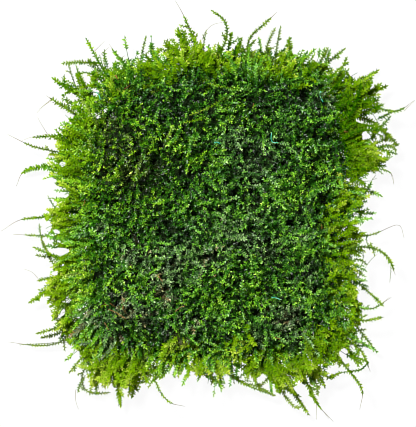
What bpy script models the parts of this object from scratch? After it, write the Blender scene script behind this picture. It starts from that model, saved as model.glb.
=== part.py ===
"""Moss clump: a square mat of branching aquatic moss, grown together and lifted off flat.

The mat is one solid, tufted on top and at its sides and cut flat below. Long shoots leave its
sides, each a flat leafy stem with side branches and often a bare, hair-thin end. A few dead
brown shoots and short lengths of the green thread that tied the moss down show on top.

Metres, +Z up. The origin is the centre of the mat's flat underside. +X is the clump's right
and +Y its far side as it is seen from above.
"""

import math

import bmesh
import bpy
import numpy as np
from mathutils import Matrix, Vector, noise
from mathutils.bvhtree import BVHTree
from mathutils.geometry import interpolate_bezier

MM = 0.001

# The mat's outline, a superellipse with a shallow wave
MAT_HALF_WIDTH = 43.5 * MM
MAT_HALF_DEPTH = 47.0 * MM
MAT_SQUARENESS = 5.5  # exponent of the superellipse: 2 is an ellipse, and more is squarer
RIM_WAVE = 0.8 * MM
CORNER_BITE = 4.0 * MM  # how far the far left corner falls short of the others
CORNER_BITE_BEARING = math.radians(135)
CORNER_BITE_SPREAD = math.radians(14)

# The mat's height, to the feet of its tufts
MAT_HEIGHT = 14.0 * MM
SHOULDER = 0.7  # share of the way out at which the top starts to fall
RIM_HEIGHT = 7.2 * MM
SWELL = 1.4 * MM  # slow rise and fall of the top
SWELL_SIZE = 16.0 * MM
WALL_ROWS = (  # height, and how far it stands out past the outline
    (4.8 * MM, 0.9 * MM),
    (2.4 * MM, -0.2 * MM),
    (0.0, -3.0 * MM),
)

# Tufts: one stands on each facet of the mat's top and sides
TUFTS_ACROSS = 24
FACET_STRAY = 0.6 * MM  # how far a facet's corner is off the even grid
TUFT_LOWEST = 1.1 * MM
TUFT_TALLEST = 3.4 * MM
TUFT_LEAN = 1.0 * MM
WALL_TUFT_SHARE = 1.2  # tufts on the wall against those on top
CROWDED_TUFT_SHARE = 0.05  # a tuft beside a shoot's root

# Shoots: the half-width of a shoot takes in its leaves
THICK = 0.95 * MM
MEDIUM = 0.78 * MM
THIN = 0.55 * MM
HAIR = 0.17 * MM
FLATNESS = 0.5  # half-depth of a shoot against its half-width
LEAF_PITCH = 1.85 * MM
LEAF_OUT = 1.25  # half-width at the leaves' points, and between them
LEAF_IN = 0.6
ROOT_SHARE = 0.45  # half-width at the root
TIP_SHARE = 0.5  # half-width left at the end of the leafy part
BRANCH_EVERY = 2  # rings between two side branches
BRANCH_FREE_SHARE = 0.45  # outer part of the leafy length with no branches
BRANCH_FORWARD = math.radians(50)  # angle between a side branch and its stem
BRANCH_LENGTH = 3.4 * MM
BRANCH_STEPS = ((0.3, 0.5), (0.4, 1.5), (0.3, 0.25))  # share of its length, and change in width
STRAIGHT_OUT = 2.0 * MM  # the stretch that stands straight out of its root facet
ARCH = 1.1 * MM  # rise at the middle of a shoot
CURVE_STEPS = 12  # points to each stretch of a route, before they are evenly spaced

# Where a shoot leaves the mat, and how high its far end hangs: crossing shoots pass clear
HIGH = ("shoulder", 9.2 * MM)
MIDDLE = ("upper wall", 4.6 * MM)
LOW = ("lower wall", 1.2 * MM)

# What lies on top
GAP = 0.3 * MM  # clearance between pieces that touch
THREAD_RADIUS = 0.24 * MM
DEAD_RADIUS = 0.42 * MM
LAID_STEPS = 4  # points between two of a laid route

# Routes of the shoots in order round the mat, in millimetres, from where they leave it:
# level, half-width, length of the bare end, route
SHOOTS = {
    "shoot_far_1": (MIDDLE, MEDIUM, 0, ((-26, 46), (-30.5, 52.5))),
    "shoot_far_2": (HIGH, THIN, 0, ((-21, 44), (-20, 50), (-19, 54.5))),
    "shoot_far_3": (MIDDLE, MEDIUM, 6, ((-2, 46), (-4.5, 54.5), (-7.5, 61.5), (-10, 66))),
    "shoot_far_4": (HIGH, MEDIUM, 0, ((0.5, 44), (5.5, 53), (5.5, 59), (1.5, 62.5))),
    "shoot_far_5": (MIDDLE, MEDIUM, 3, ((12, 46), (13, 54), (18, 59), (21.5, 62.5))),
    "shoot_far_6": (HIGH, THIN, 0, ((20.5, 44), (21.5, 52), (22.5, 57.5))),
    "shoot_far_7": (LOW, THICK, 0, ((25.5, 46), (25.5, 54.5))),
    "shoot_far_8": (MIDDLE, MEDIUM, 0, ((34, 44), (42.5, 51))),
    "shoot_right_1": (HIGH, MEDIUM, 0, ((38.5, 38.5), (43, 48))),
    "shoot_right_2": (LOW, THICK, 0, ((42, 40), (47, 41), (53, 44.5))),
    "shoot_right_3": (MIDDLE, THICK, 0, ((43, 35.5), (49, 37), (55.5, 39.5))),
    "shoot_right_4": (HIGH, MEDIUM, 4.5, ((42, 31), (49.5, 33), (58, 31.5), (64, 35))),
    "shoot_right_5": (LOW, THICK, 0, ((43, 30), (51, 28.5), (59, 21.5))),
    "shoot_right_6": (MIDDLE, MEDIUM, 0, ((43.5, 21), (51, 20.5), (58.5, 18.5))),
    "shoot_right_7": (HIGH, THIN, 4, ((42, 13), (51, 14), (56.5, 12.5), (57.5, 9))),
    "shoot_right_8": (MIDDLE, MEDIUM, 6, ((44, -7), (51, -6.5), (59, -3.5), (61, -7.5))),
    "shoot_right_9": (HIGH, MEDIUM, 2, ((42, -10.5), (50.5, -10.5), (55.5, -13.5), (58, -19))),
    "shoot_right_10": (LOW, MEDIUM, 0, ((43, -19), (48.5, -23), (54.5, -28.5))),
    "shoot_right_11": (MIDDLE, THIN, 3, ((43.5, -28), (50.5, -29.5), (57, -26))),
    "shoot_right_12": (HIGH, MEDIUM, 0, ((41, -31), (48, -33), (54, -32))),
    "shoot_right_13": (LOW, MEDIUM, 2.5, ((43, -31.5), (47.5, -36.5), (52.5, -43))),
    "shoot_right_14": (MIDDLE, MEDIUM, 2, ((42, -38), (47.5, -42.5), (50.5, -49))),
    "shoot_near_1": (HIGH, MEDIUM, 5, ((37, -41), (41.5, -46), (47.5, -54), (47, -60.5))),
    "shoot_near_2": (LOW, MEDIUM, 0, ((33, -44), (36.5, -54))),
    "shoot_near_3": (MIDDLE, MEDIUM, 6, ((27, -46), (31, -53), (34, -59), (39, -64.5))),
    "shoot_near_4": (LOW, THIN, 2, ((22.5, -46), (26, -54), (32, -63))),
    "shoot_near_5": (MIDDLE, THIN, 0, ((6, -47), (11, -52.5), (21, -56.5))),
    "shoot_near_6": (LOW, MEDIUM, 0, ((-1, -46), (1.5, -51), (5, -54))),
    "shoot_near_7": (HIGH, THIN, 4, ((-18, -45), (-15.5, -53), (-12, -58), (-7, -59.5))),
    "shoot_near_8": (LOW, MEDIUM, 0, ((-21.5, -46), (-22, -51), (-23.5, -57))),
    "shoot_near_9": (MIDDLE, MEDIUM, 0, ((-26, -47), (-27.5, -53), (-27, -59.5))),
    "shoot_near_10": (LOW, THIN, 0, ((-36, -44), (-39, -51), (-37, -55.5), (-30.5, -55.8))),
    "shoot_left_1": (HIGH, MEDIUM, 0, ((-36, -41), (-42.5, -49))),
    "shoot_left_2": (LOW, THIN, 7, ((-42, -35.5), (-46, -40), (-53, -41), (-62, -40))),
    "shoot_left_3": (HIGH, MEDIUM, 0, ((-41, -31.5), (-46, -35), (-52.5, -37))),
    "shoot_left_4": (MIDDLE, THICK, 0, ((-44, -19), (-48.5, -23), (-55, -27.5))),
    "shoot_left_5": (HIGH, MEDIUM, 0, ((-42, -15.5), (-47.5, -13), (-53.5, -10.5))),
    "shoot_left_6": (LOW, THIN, 4, ((-43, -7.5), (-51, -7), (-60.5, -6.5))),
    "shoot_left_7": (MIDDLE, MEDIUM, 8, ((-44, 0.5), (-50, -1), (-58, -2), (-64, -5.5))),
    "shoot_left_8": (LOW, THICK, 5, ((-43, 13), (-49.5, 14.5), (-57, 13), (-59.5, 8.5))),
    "shoot_left_9": (MIDDLE, THIN, 6, ((-44, 18.5), (-54, 20.8), (-62, 24.5))),
    "shoot_left_10": (HIGH, MEDIUM, 0, ((-40, 23), (-46, 24), (-53.5, 23.5))),
    "shoot_left_11": (MIDDLE, THICK, 2, ((-42, 31.5), (-50, 36.5))),
    "shoot_left_12": (LOW, THICK, 0, ((-39, 36), (-48, 42))),
    "shoot_left_13": (MIDDLE, MEDIUM, 0, ((-32, 44), (-37.5, 54))),
}

# Routes of what lies on the tufts, in millimetres
THREADS = {
    "tie_thread_1": ((-34.2, 37.4), (-33.4, 36.4), (-33.0, 35.2)),
    "tie_thread_2": ((34.9, 37.7), (34.7, 36.2), (35.6, 34.4)),
    "tie_thread_3": ((19.6, 24.8), (19.5, 22.8), (20.1, 21.8), (21.6, 21.7)),
    "tie_thread_4": ((19.5, -25.6), (20.9, -25.8), (22.2, -26.3)),
    "tie_thread_5": ((2.0, 21.6), (2.9, 21.8), (3.9, 21.4)),
}
DEAD_SHOOTS = {
    "dead_shoot_1": ((-9.9, -30.0), (-8.6, -28.9), (-7.2, -28.3)),
    "dead_shoot_2": ((-30.3, -29.3), (-27.8, -30.4), (-25.2, -32.1)),
    "dead_shoot_3": ((-31.6, -33.4), (-30.9, -34.5), (-30.3, -35.6)),
    "dead_shoot_4": ((-15.2, -19.3), (-14.4, -19.9), (-13.7, -20.9)),
}

UP = Vector((0, 0, 1))


def clear_scene():
    for obj in list(bpy.data.objects):
        bpy.data.objects.remove(obj)


def material(name, colour, roughness):
    made = bpy.data.materials.new(name)
    made.use_nodes = True
    shader = made.node_tree.nodes["Principled BSDF"]
    shader.inputs["Base Color"].default_value = (*colour, 1)
    shader.inputs["Roughness"].default_value = roughness
    shader.inputs["Metallic"].default_value = 0
    return made


def add_object(name, data, finish):
    obj = bpy.data.objects.new(name, data)
    obj.data.materials.append(finish)
    bpy.context.scene.collection.objects.link(obj)
    return obj


def object_from_bmesh(name, bm, finish):
    bmesh.ops.recalc_face_normals(bm, faces=bm.faces)
    mesh = bpy.data.meshes.new(name)
    bm.to_mesh(mesh)
    bm.free()
    return add_object(name, mesh, finish)


# Shared arithmetic


def smooth_step(low, high, value):
    share = min(1.0, max(0.0, (value - low) / (high - low)))
    return share * share * (3 - 2 * share)


def chance(place, salt):
    """A steady random vector for a place on the mat, each part from -1 to 1."""
    return 2 * noise.cell_vector(place / MM + UP * salt) - Vector((1, 1, 1))


def smooth_route(knots, steps):
    """Points of one smooth curve through the knots, with this many to each stretch."""
    ends = [2 * knots[0] - knots[1], *knots, 2 * knots[-1] - knots[-2]]
    points = [knots[0]]
    for before, start, end, after in zip(ends, ends[1:], ends[2:], ends[3:]):
        leaving = start + (end - before) / 6
        arriving = end - (after - start) / 6
        points += interpolate_bezier(start, leaving, arriving, end, steps + 1)[1:]
    return points


def evenly_spaced(line, pitch):
    """Points about a pitch apart along a line of many short stretches, with both ends kept."""
    runs = np.linalg.norm(np.diff(line, axis=0), axis=1)
    reached = np.concatenate(([0], np.cumsum(runs)))
    marks = np.linspace(0, reached[-1], round(reached[-1] / pitch) + 1)
    return [Vector(np.interp(mark, reached, axis) for axis in np.transpose(line)) for mark in marks]


# The mat


def outline_radius(bearing):
    """How far the outline is from the mat's centre, at a bearing from +X."""
    across = abs(math.cos(bearing) / MAT_HALF_WIDTH) ** MAT_SQUARENESS
    along = abs(math.sin(bearing) / MAT_HALF_DEPTH) ** MAT_SQUARENESS
    off_bite = abs((bearing - CORNER_BITE_BEARING + math.pi) % math.tau - math.pi)
    bite = CORNER_BITE * math.exp(-((off_bite / CORNER_BITE_SPREAD) ** 2))
    wave = RIM_WAVE * (math.sin(7 * bearing + 0.4) + math.sin(17 * bearing + 2.1))
    return (across + along) ** (-1 / MAT_SQUARENESS) - bite + wave


def lay_top(bm):
    """A square grid stretched to the mat's outline and raised to a pillow's shape."""
    bmesh.ops.create_grid(bm, x_segments=TUFTS_ACROSS, y_segments=TUFTS_ACROSS, size=1)
    for vert in bm.verts:
        share_out = max(abs(vert.co.x), abs(vert.co.y))
        bearing = math.atan2(vert.co.y, vert.co.x)
        place = vert.co.normalized() * outline_radius(bearing) * share_out
        fall = (MAT_HEIGHT - RIM_HEIGHT) * smooth_step(SHOULDER, 1.0, share_out)
        swell = noise.noise(place / SWELL_SIZE) * SWELL * (1 - share_out**4)
        vert.co = place + UP * (MAT_HEIGHT - fall + swell)


def wall_down(bm):
    """Draws the rim down over the mat's widest part to the flat base, a row of facets at a time."""
    rim = [edge for edge in bm.edges if edge.is_boundary]
    rows = []
    for height, outwards in WALL_ROWS:
        drawn = bmesh.ops.extrude_edge_only(bm, edges=rim)["geom"]
        rim = [part for part in drawn if isinstance(part, bmesh.types.BMEdge)]
        rows.append([part for part in drawn if isinstance(part, bmesh.types.BMFace)])
        for vert in {vert for edge in rim for vert in edge.verts}:
            bearing = math.atan2(vert.co.y, vert.co.x)
            outward = Vector((math.cos(bearing), math.sin(bearing), 0))
            vert.co = outward * (outline_radius(bearing) + outwards) + UP * height
    bmesh.ops.contextual_create(bm, geom=rim)
    return rows


def roughen(bm):
    """Moves each corner of the facets a little, apart from those on the flat base."""
    for vert in bm.verts:
        if vert.co.z > 0:
            vert.co += chance(vert.co, 1) * FACET_STRAY


def raise_tufts(bm, shares):
    """Turns each face into a leaning, pointed tuft, of its share of the full size."""
    for face, share in shares.items():
        centre = face.calc_center_median()
        stray = chance(centre, 2)
        height = share * (TUFT_LOWEST + (TUFT_TALLEST - TUFT_LOWEST) * (0.5 + 0.5 * stray.z))
        lean = Vector((stray.x, stray.y, 0)) * TUFT_LEAN * share
        tip = centre + face.normal * height + lean
        bmesh.ops.poke(bm, faces=[face])["verts"][0].co = tip


def nearest_free(faces, taken, place):
    """The face nearest to a place that no shoot grows from yet."""
    free = [face for face in faces if face not in taken]
    return min(free, key=lambda face: (face.calc_center_median().xy - place).length)


def choose_roots(shoulder, upper_wall, lower_wall):
    """The facet that each shoot grows from."""
    levels = {HIGH: shoulder, MIDDLE: upper_wall, LOW: lower_wall}
    roots = {}
    for name, (level, half_width, bare, route) in SHOOTS.items():
        leaves_at = Vector(route[0]) * MM
        roots[name] = nearest_free(levels[level], set(roots.values()), leaves_at)
    return roots


def build_mat(finish):
    """Makes the mat. It returns each shoot's root facet, as its centre and normal, and the surface."""
    bm = bmesh.new()
    lay_top(bm)
    top = list(bm.faces)
    shoulder = [face for face in top if any(edge.is_boundary for edge in face.edges)]
    upper_wall, lower_wall, foot = wall_down(bm)
    roughen(bm)
    bm.normal_update()
    roots = choose_roots(shoulder, upper_wall, lower_wall)
    facets = {name: (face.calc_center_median(), face.normal.copy()) for name, face in roots.items()}
    beside_roots = {near for face in roots.values() for vert in face.verts for near in vert.link_faces}
    shares = dict.fromkeys(top, 1.0) | dict.fromkeys(upper_wall + lower_wall, WALL_TUFT_SHARE)
    shares |= {face: CROWDED_TUFT_SHARE for face in shares if face in beside_roots}
    for face in roots.values():
        del shares[face]
    raise_tufts(bm, shares)
    surface = BVHTree.FromBMesh(bm)
    object_from_bmesh("moss_mat", bm, finish)
    return facets, surface


# The shoots


def draw_out(bm, face, corners):
    """Extrudes a four-sided face and moves its corners to these places."""
    end = bmesh.ops.extrude_discrete_faces(bm, faces=[face])["faces"][0]
    for vert, place in zip(end.verts, corners):
        vert.co = place
    return end


def section(centre, side, up, half_width):
    half_depth = half_width * FLATNESS
    signs = ((-1, -1), (1, -1), (1, 1), (-1, 1))
    return [centre + side * across * half_width + up * above * half_depth for across, above in signs]


def shoot_centreline(root, normal, route, end_height):
    """Points a leaf pitch apart along a shoot, from its root facet along its route."""
    clear = root + normal * GAP
    knots = [clear, clear + normal * STRAIGHT_OUT]
    knots += [(Vector(place) * MM).to_3d() for place in route[1:]]
    reached = np.cumsum([(end.xy - start.xy).length for start, end in zip(knots, knots[1:])])
    for knot, share in zip(knots[2:], reached[1:] / reached[-1]):
        knot.z = clear.z + (end_height - clear.z) * share + ARCH * math.sin(math.pi * share)
    return evenly_spaced(smooth_route(knots, CURVE_STEPS), LEAF_PITCH)


def leafy_half_width(half_width, ring, last_leafy):
    """A shoot's half-width at a ring: toothed by its leaves, tapering, then bare."""
    if ring > last_leafy:
        return HAIR
    taper = 1 - (1 - TIP_SHARE) * smooth_step(0.3, 1.0, ring / last_leafy)
    return half_width * taper * (LEAF_IN if ring % 2 else LEAF_OUT)


def grow_branch(bm, face, direction, length):
    """Draws a side face of a stem out into a short leafy branch."""
    for share, change in BRANCH_STEPS:
        centre = face.calc_center_median()
        onward = centre + direction * length * share
        face = draw_out(bm, face, [onward + (vert.co - centre) * change for vert in face.verts])


def build_shoot(name, facet, finish):
    """A leafy stem drawn out ring by ring from its root, then its side branches."""
    level, half_width, bare, route = SHOOTS[name]
    root, normal = facet
    points = shoot_centreline(root, normal, route, level[1])
    last_leafy = len(points) - 1 - round(bare * MM / LEAF_PITCH)
    bm = bmesh.new()
    side = normal.cross(UP).normalized()
    corners = section(points[0], side, side.cross(normal), half_width * ROOT_SHARE)
    face = bm.faces.new([bm.verts.new(corner) for corner in corners])
    branches = []
    for ring in range(1, len(points)):
        along = (points[min(ring + 1, len(points) - 1)] - points[ring - 1]).normalized()
        side = along.cross(UP).normalized()
        width = leafy_half_width(half_width, ring, last_leafy)
        face = draw_out(bm, face, section(points[ring], side, side.cross(along), width))
        if ring % BRANCH_EVERY == 0 and ring < last_leafy * (1 - BRANCH_FREE_SHARE):
            hand = 1 if ring % (2 * BRANCH_EVERY) else -1
            flank = face.edges[1 if hand > 0 else 3]
            start = next(near for near in flank.link_faces if near is not face)
            forward = along * math.cos(BRANCH_FORWARD) + side * hand * math.sin(BRANCH_FORWARD)
            branches.append((start, forward))
    for start, forward in branches:
        grow_branch(bm, start, forward, BRANCH_LENGTH * half_width / THICK)
    bmesh.ops.holes_fill(bm, edges=bm.edges)
    object_from_bmesh(name, bm, finish)


# What lies on top of the mat


def tufts_below(surface, place, reach):
    """The height of the highest tuft within reach of a place."""
    east = Vector((reach, 0, 0))
    around = [Matrix.Rotation(math.radians(turn), 3, "Z") @ east for turn in range(0, 360, 60)]
    sky = place + UP * MAT_HEIGHT * 3
    return max(surface.ray_cast(sky + offset, -UP)[0].z for offset in (Vector(), *around))


def lay_on_top(name, route, radius, surface, finish):
    """A round, level stem or thread that rests on the tufts along its route."""
    points = smooth_route([(Vector(place) * MM).to_3d() for place in route], LAID_STEPS)
    height = radius + GAP + max(tufts_below(surface, point, radius + GAP) for point in points)
    curve = bpy.data.curves.new(name, "CURVE")
    curve.dimensions = "3D"
    curve.bevel_depth = radius
    curve.bevel_resolution = 1
    curve.use_fill_caps = True
    spline = curve.splines.new("POLY")
    spline.points.add(len(points) - 1)
    for knot, point in zip(spline.points, points):
        knot.co = (point.x, point.y, height, 1)
    add_object(name, curve, finish)


def build_clump():
    facets, surface = build_mat(material("moss", (0.055, 0.16, 0.018), 0.6))
    shoot_green = material("shoot_green", (0.16, 0.34, 0.02), 0.5)
    for name in SHOOTS:
        build_shoot(name, facets[name], shoot_green)
    thread_green = material("thread_green", (0.03, 0.36, 0.22), 0.35)
    for name, route in THREADS.items():
        lay_on_top(name, route, THREAD_RADIUS, surface, thread_green)
    dead_brown = material("dead_brown", (0.36, 0.2, 0.07), 0.7)
    for name, route in DEAD_SHOOTS.items():
        lay_on_top(name, route, DEAD_RADIUS, surface, dead_brown)


clear_scene()
build_clump()
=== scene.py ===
import math

import bmesh
import bpy
import numpy as np
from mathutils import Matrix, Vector, noise


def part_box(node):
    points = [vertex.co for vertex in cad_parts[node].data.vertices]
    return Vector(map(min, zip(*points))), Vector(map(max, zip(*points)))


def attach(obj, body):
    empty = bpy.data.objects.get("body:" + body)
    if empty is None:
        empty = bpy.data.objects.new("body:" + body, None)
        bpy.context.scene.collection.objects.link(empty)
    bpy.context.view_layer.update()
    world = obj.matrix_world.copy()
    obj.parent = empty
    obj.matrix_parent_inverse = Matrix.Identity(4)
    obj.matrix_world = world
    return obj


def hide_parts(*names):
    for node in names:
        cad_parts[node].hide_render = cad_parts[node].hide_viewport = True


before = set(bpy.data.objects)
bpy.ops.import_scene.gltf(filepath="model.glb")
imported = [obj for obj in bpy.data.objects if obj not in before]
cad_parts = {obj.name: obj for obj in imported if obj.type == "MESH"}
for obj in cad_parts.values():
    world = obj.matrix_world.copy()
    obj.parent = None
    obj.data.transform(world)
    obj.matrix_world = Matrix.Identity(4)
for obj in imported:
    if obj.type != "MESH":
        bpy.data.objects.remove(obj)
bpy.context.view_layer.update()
bpy.ops.object.select_all(action="DESELECT")
print("frame loaded")

# Lengths are in millimetres until a mesh is written. The origin is the middle of the mat's
# flat underside, +X is right and +Y is far as the clump is seen from above.
mm = 0.001
up = np.array((0.0, 0.0, 1.0))
paletteMap = "OFBake"  # each leaf's place on the palette: across is tone, upwards is hue
rng = np.random.default_rng(20)


def newMaterial(name, roughness, shine):
    made = bpy.data.materials.new(name)
    made.use_nodes = True
    shader = made.node_tree.nodes["Principled BSDF"]
    shader.inputs["Roughness"].default_value = roughness
    shader.inputs["Specular IOR Level"].default_value = shine
    return made, made.node_tree, shader


def addObject(name, data):
    obj = bpy.data.objects.new(name, data)
    bpy.context.scene.collection.objects.link(obj)
    return obj


def handOver(obj, replaced=()):
    # Every piece of the clump is on the one body
    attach(obj, "root")
    if replaced:
        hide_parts(*replaced)


# Camera, floor and light

shot = {
    "pictureHeight": 427,
    "mmPerPixel": 0.31,
    "middle": (0.155, 0.0),  # what the picture's middle shows
    "focusHeight": 5.0,  # this level is seen at mmPerPixel
    "distance": 900.0,
    "sensor": 36,
    "clip": (0.01, 20),
}
lamps = {
    "key": {"place": (-0.30, 0.34, 0.74), "size": 0.16, "power": 34.0},
    "fill": {"place": (0.45, -0.45, 0.60), "size": 0.50, "power": 2.0},
}
studio = {
    "floorSize": 6,
    "floorDrop": 0.0002,
    "floorColour": (0.02, 0.02, 0.02, 1),
    # A light table, just bright enough to be white: brighter would eat away thin shoots before it
    "floorGlow": 0.94,
    "skyColour": (1, 0.99, 0.94, 1),
    "skyStrength": 0.06,
}


def makeCamera():
    camera = bpy.data.cameras.new("camera")
    tall = shot["pictureHeight"] * shot["mmPerPixel"]
    camera.sensor_width = shot["sensor"]
    camera.lens = shot["sensor"] * shot["distance"] / tall
    camera.clip_start, camera.clip_end = shot["clip"]
    obj = addObject("camera", camera)
    x, y = shot["middle"]
    obj.location = (x * mm, y * mm, (shot["focusHeight"] + shot["distance"]) * mm)
    bpy.context.scene.camera = obj


def makeFloor():
    bpy.ops.mesh.primitive_grid_add(
        x_subdivisions=2, y_subdivisions=2, size=studio["floorSize"], location=(0, 0, -studio["floorDrop"])
    )
    floor = bpy.context.object
    floor.name = "floor"
    paint, _, shader = newMaterial("floorWhite", roughness=0.9, shine=0)
    shader.inputs["Base Color"].default_value = studio["floorColour"]
    shader.inputs["Emission Color"].default_value = (1, 1, 1, 1)
    shader.inputs["Emission Strength"].default_value = studio["floorGlow"]
    floor.data.materials.append(paint)
    bpy.ops.object.select_all(action="DESELECT")


def makeLights():
    for name, lamp in lamps.items():
        data = bpy.data.lights.new(name, "AREA")
        data.size = lamp["size"]
        data.energy = lamp["power"]
        obj = addObject(name, data)
        obj.location = lamp["place"]
        obj.rotation_euler = (-Vector(lamp["place"])).to_track_quat("-Z", "Y").to_euler()
    world = bpy.data.worlds.new("studio")
    world.use_nodes = True
    sky = world.node_tree.nodes["Background"]
    sky.inputs["Color"].default_value = studio["skyColour"]
    sky.inputs["Strength"].default_value = studio["skyStrength"]
    bpy.context.scene.world = world
    bpy.context.scene.view_settings.view_transform = "Standard"
    bpy.context.scene.cycles.filter_width = 1.0


makeCamera()
makeFloor()
makeLights()
print("stage ready")


# Materials

# Colours from dark to bright, and where each kind lies on the palette's hue axis
palette = {
    "dry": (0.08, ((0, (0.010, 0.006, 0.003)), (0.35, (0.11, 0.050, 0.014)), (0.5, (0.25, 0.12, 0.035)),
                   (0.72, (0.34, 0.29, 0.19)), (1, (0.62, 0.58, 0.50)))),
    # The next row, grey-green, stands in for glints on wet leaves: its pale end is a painted glint
    "greyGlint": (0.32, ((0.1, (0.002, 0.004, 0.001)), (0.3, (0.020, 0.040, 0.013)),
                    (0.6, (0.12, 0.18, 0.078)), (1, (0.46, 0.56, 0.36)))),
    "fresh": (0.60, ((0.1, (0.001, 0.005, 0.0002)), (0.3, (0.008, 0.061, 0.001)),
                     (0.6, (0.083, 0.229, 0.011)), (1, (0.46, 0.58, 0.10)))),
    "warm": (0.92, ((0.1, (0.001, 0.006, 0.0002)), (0.3, (0.016, 0.082, 0.0003)),
                    (0.6, (0.150, 0.275, 0.001)), (1, (0.60, 0.63, 0.10)))),
    "olive": (0.99, ((0.1, (0.003, 0.005, 0.0006)), (0.3, (0.040, 0.073, 0.007)),
                     (0.6, (0.155, 0.240, 0.026)), (1, (0.50, 0.56, 0.12)))),
}


def addRamp(tree, tone, stops):
    ramp = tree.nodes.new("ShaderNodeValToRGB")
    tree.links.new(tone, ramp.inputs["Fac"])
    marks = ramp.color_ramp.elements
    while len(marks) < len(stops):
        marks.new(0.5)
    for mark, (place, colour) in zip(marks, stops):
        mark.position = place
        mark.color = (*colour, 1)
    return ramp.outputs["Color"]


def addMix(tree, share, first, second, blend="MIX"):
    mix = tree.nodes.new("ShaderNodeMix")
    mix.data_type = "RGBA"
    mix.blend_type = blend
    for socket, value in ((mix.inputs[0], share), (mix.inputs[6], first), (mix.inputs[7], second)):
        if isinstance(value, bpy.types.NodeSocket):
            tree.links.new(value, socket)
        else:
            socket.default_value = value
    return mix.outputs[2]


def addShare(tree, value, low, high):
    ranged = tree.nodes.new("ShaderNodeMapRange")
    tree.links.new(value, ranged.inputs["Value"])
    ranged.inputs["From Min"].default_value = low
    ranged.inputs["From Max"].default_value = high
    return ranged.outputs["Result"]


def makeLeafMaterial(name, roughness, shine, seeThrough, glow):
    made, tree, shader = newMaterial(name, roughness, shine)
    place = tree.nodes.new("ShaderNodeUVMap")
    place.uv_map = paletteMap
    parts = tree.nodes.new("ShaderNodeSeparateXYZ")
    tree.links.new(place.outputs["UV"], parts.inputs["Vector"])
    tone, hue = parts.outputs["X"], parts.outputs["Y"]
    colour, below = None, None
    for height, stops in palette.values():
        row = addRamp(tree, tone, stops)
        colour = row if colour is None else addMix(tree, addShare(tree, hue, below, height), colour, row)
        below = height
    tree.links.new(colour, shader.inputs["Base Color"])
    through = tree.nodes.new("ShaderNodeBsdfTranslucent")
    tree.links.new(addMix(tree, 1.0, colour, (*glow, 1), "MULTIPLY"), through.inputs["Color"])
    mixed = tree.nodes.new("ShaderNodeMixShader")
    mixed.inputs["Fac"].default_value = seeThrough
    tree.links.new(shader.outputs["BSDF"], mixed.inputs[1])
    tree.links.new(through.outputs["BSDF"], mixed.inputs[2])
    tree.links.new(mixed.outputs["Shader"], tree.nodes["Material Output"].inputs["Surface"])
    return made


def makeBedMaterial(name, dark, light, scale):
    made, tree, shader = newMaterial(name, roughness=0.95, shine=0.1)
    place = tree.nodes.new("ShaderNodeTexCoord")
    speckle = tree.nodes.new("ShaderNodeTexNoise")
    speckle.inputs["Scale"].default_value = scale
    speckle.inputs["Detail"].default_value = 5
    tree.links.new(place.outputs["Object"], speckle.inputs["Vector"])
    colour = addRamp(tree, speckle.outputs["Fac"], ((0.35, dark), (0.75, light)))
    tree.links.new(colour, shader.inputs["Base Color"])
    bump = tree.nodes.new("ShaderNodeBump")
    bump.inputs["Distance"].default_value = 0.0004
    tree.links.new(speckle.outputs["Fac"], bump.inputs["Height"])
    tree.links.new(bump.outputs["Normal"], shader.inputs["Normal"])
    return made


leafDense = makeLeafMaterial("leafDense", roughness=0.34, shine=0.21, seeThrough=0.12, glow=(0.9, 1.1, 0.3))
leafThin = makeLeafMaterial("leafThin", roughness=0.42, shine=0.0, seeThrough=0.54, glow=(1.02, 1.05, 0.02))
# The bed's near-black is partly the old stems' own colour and partly painted shade for the gaps between the
# shoots
bedDark = makeBedMaterial("bedDark", dark=(0.002, 0.005, 0.001), light=(0.010, 0.022, 0.003), scale=900)
print("materials ready")


# The mat's form, as in the solid

mat = {
    "halfWidth": 43.5,
    "halfDepth": 47.0,
    "squareness": 5.5,
    "rimWave": 0.8,
    "cornerBite": 4.0,  # how far the far left corner falls short
    "biteBearing": 135,
    "biteSpread": 14,
    "height": 14.0,
    "rimHeight": 7.2,
    "shoulder": 0.7,
    "swell": 1.3,
    "swellSize": 16.0,
    "hummock": 2.3,
    "hummockSize": 5.0,
    "ceiling": 17.5,  # shoots flatten out below this
}
core = {"middle": (4.0, 0.0), "half": (38.3, 42.0), "squareness": 5}  # the dark, dense part


def smoothStep(low, high, value):
    share = np.clip((np.asarray(value, float) - low) / (high - low), 0, 1)
    return share * share * (3 - 2 * share)


def outlineRadius(bearing):
    across = abs(math.cos(bearing) / mat["halfWidth"]) ** mat["squareness"]
    along = abs(math.sin(bearing) / mat["halfDepth"]) ** mat["squareness"]
    offBite = abs((bearing - math.radians(mat["biteBearing"]) + math.pi) % math.tau - math.pi)
    bite = mat["cornerBite"] * math.exp(-((offBite / math.radians(mat["biteSpread"])) ** 2))
    wave = mat["rimWave"] * (math.sin(7 * bearing + 0.4) + math.sin(17 * bearing + 2.1))
    return (across + along) ** (-1 / mat["squareness"]) - bite + wave


def onBearing(bearing, distance):
    return distance * math.cos(bearing), distance * math.sin(bearing)


def shareOut(x, y):
    return math.hypot(x, y) / outlineRadius(math.atan2(y, x))


def coreShare(x, y):
    power = core["squareness"]
    across = abs((x - core["middle"][0]) / core["half"][0]) ** power
    along = abs((y - core["middle"][1]) / core["half"][1]) ** power
    return (across + along) ** (1 / power)


def patchNoise(x, y, size, salt):
    return noise.noise(Vector((x / size, y / size, salt)))


def cushionHeight(x, y):
    out = shareOut(x, y)
    fall = (mat["height"] - mat["rimHeight"]) * float(smoothStep(mat["shoulder"], 1.0, out))
    swell = noise.noise(Vector((x, y, 0)) / mat["swellSize"]) * mat["swell"] * (1 - min(out, 1) ** 4)
    return mat["height"] - fall + swell + mat["hummock"] * patchNoise(x, y, mat["hummockSize"], 6.6)


# One leaf, modelled once

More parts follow.
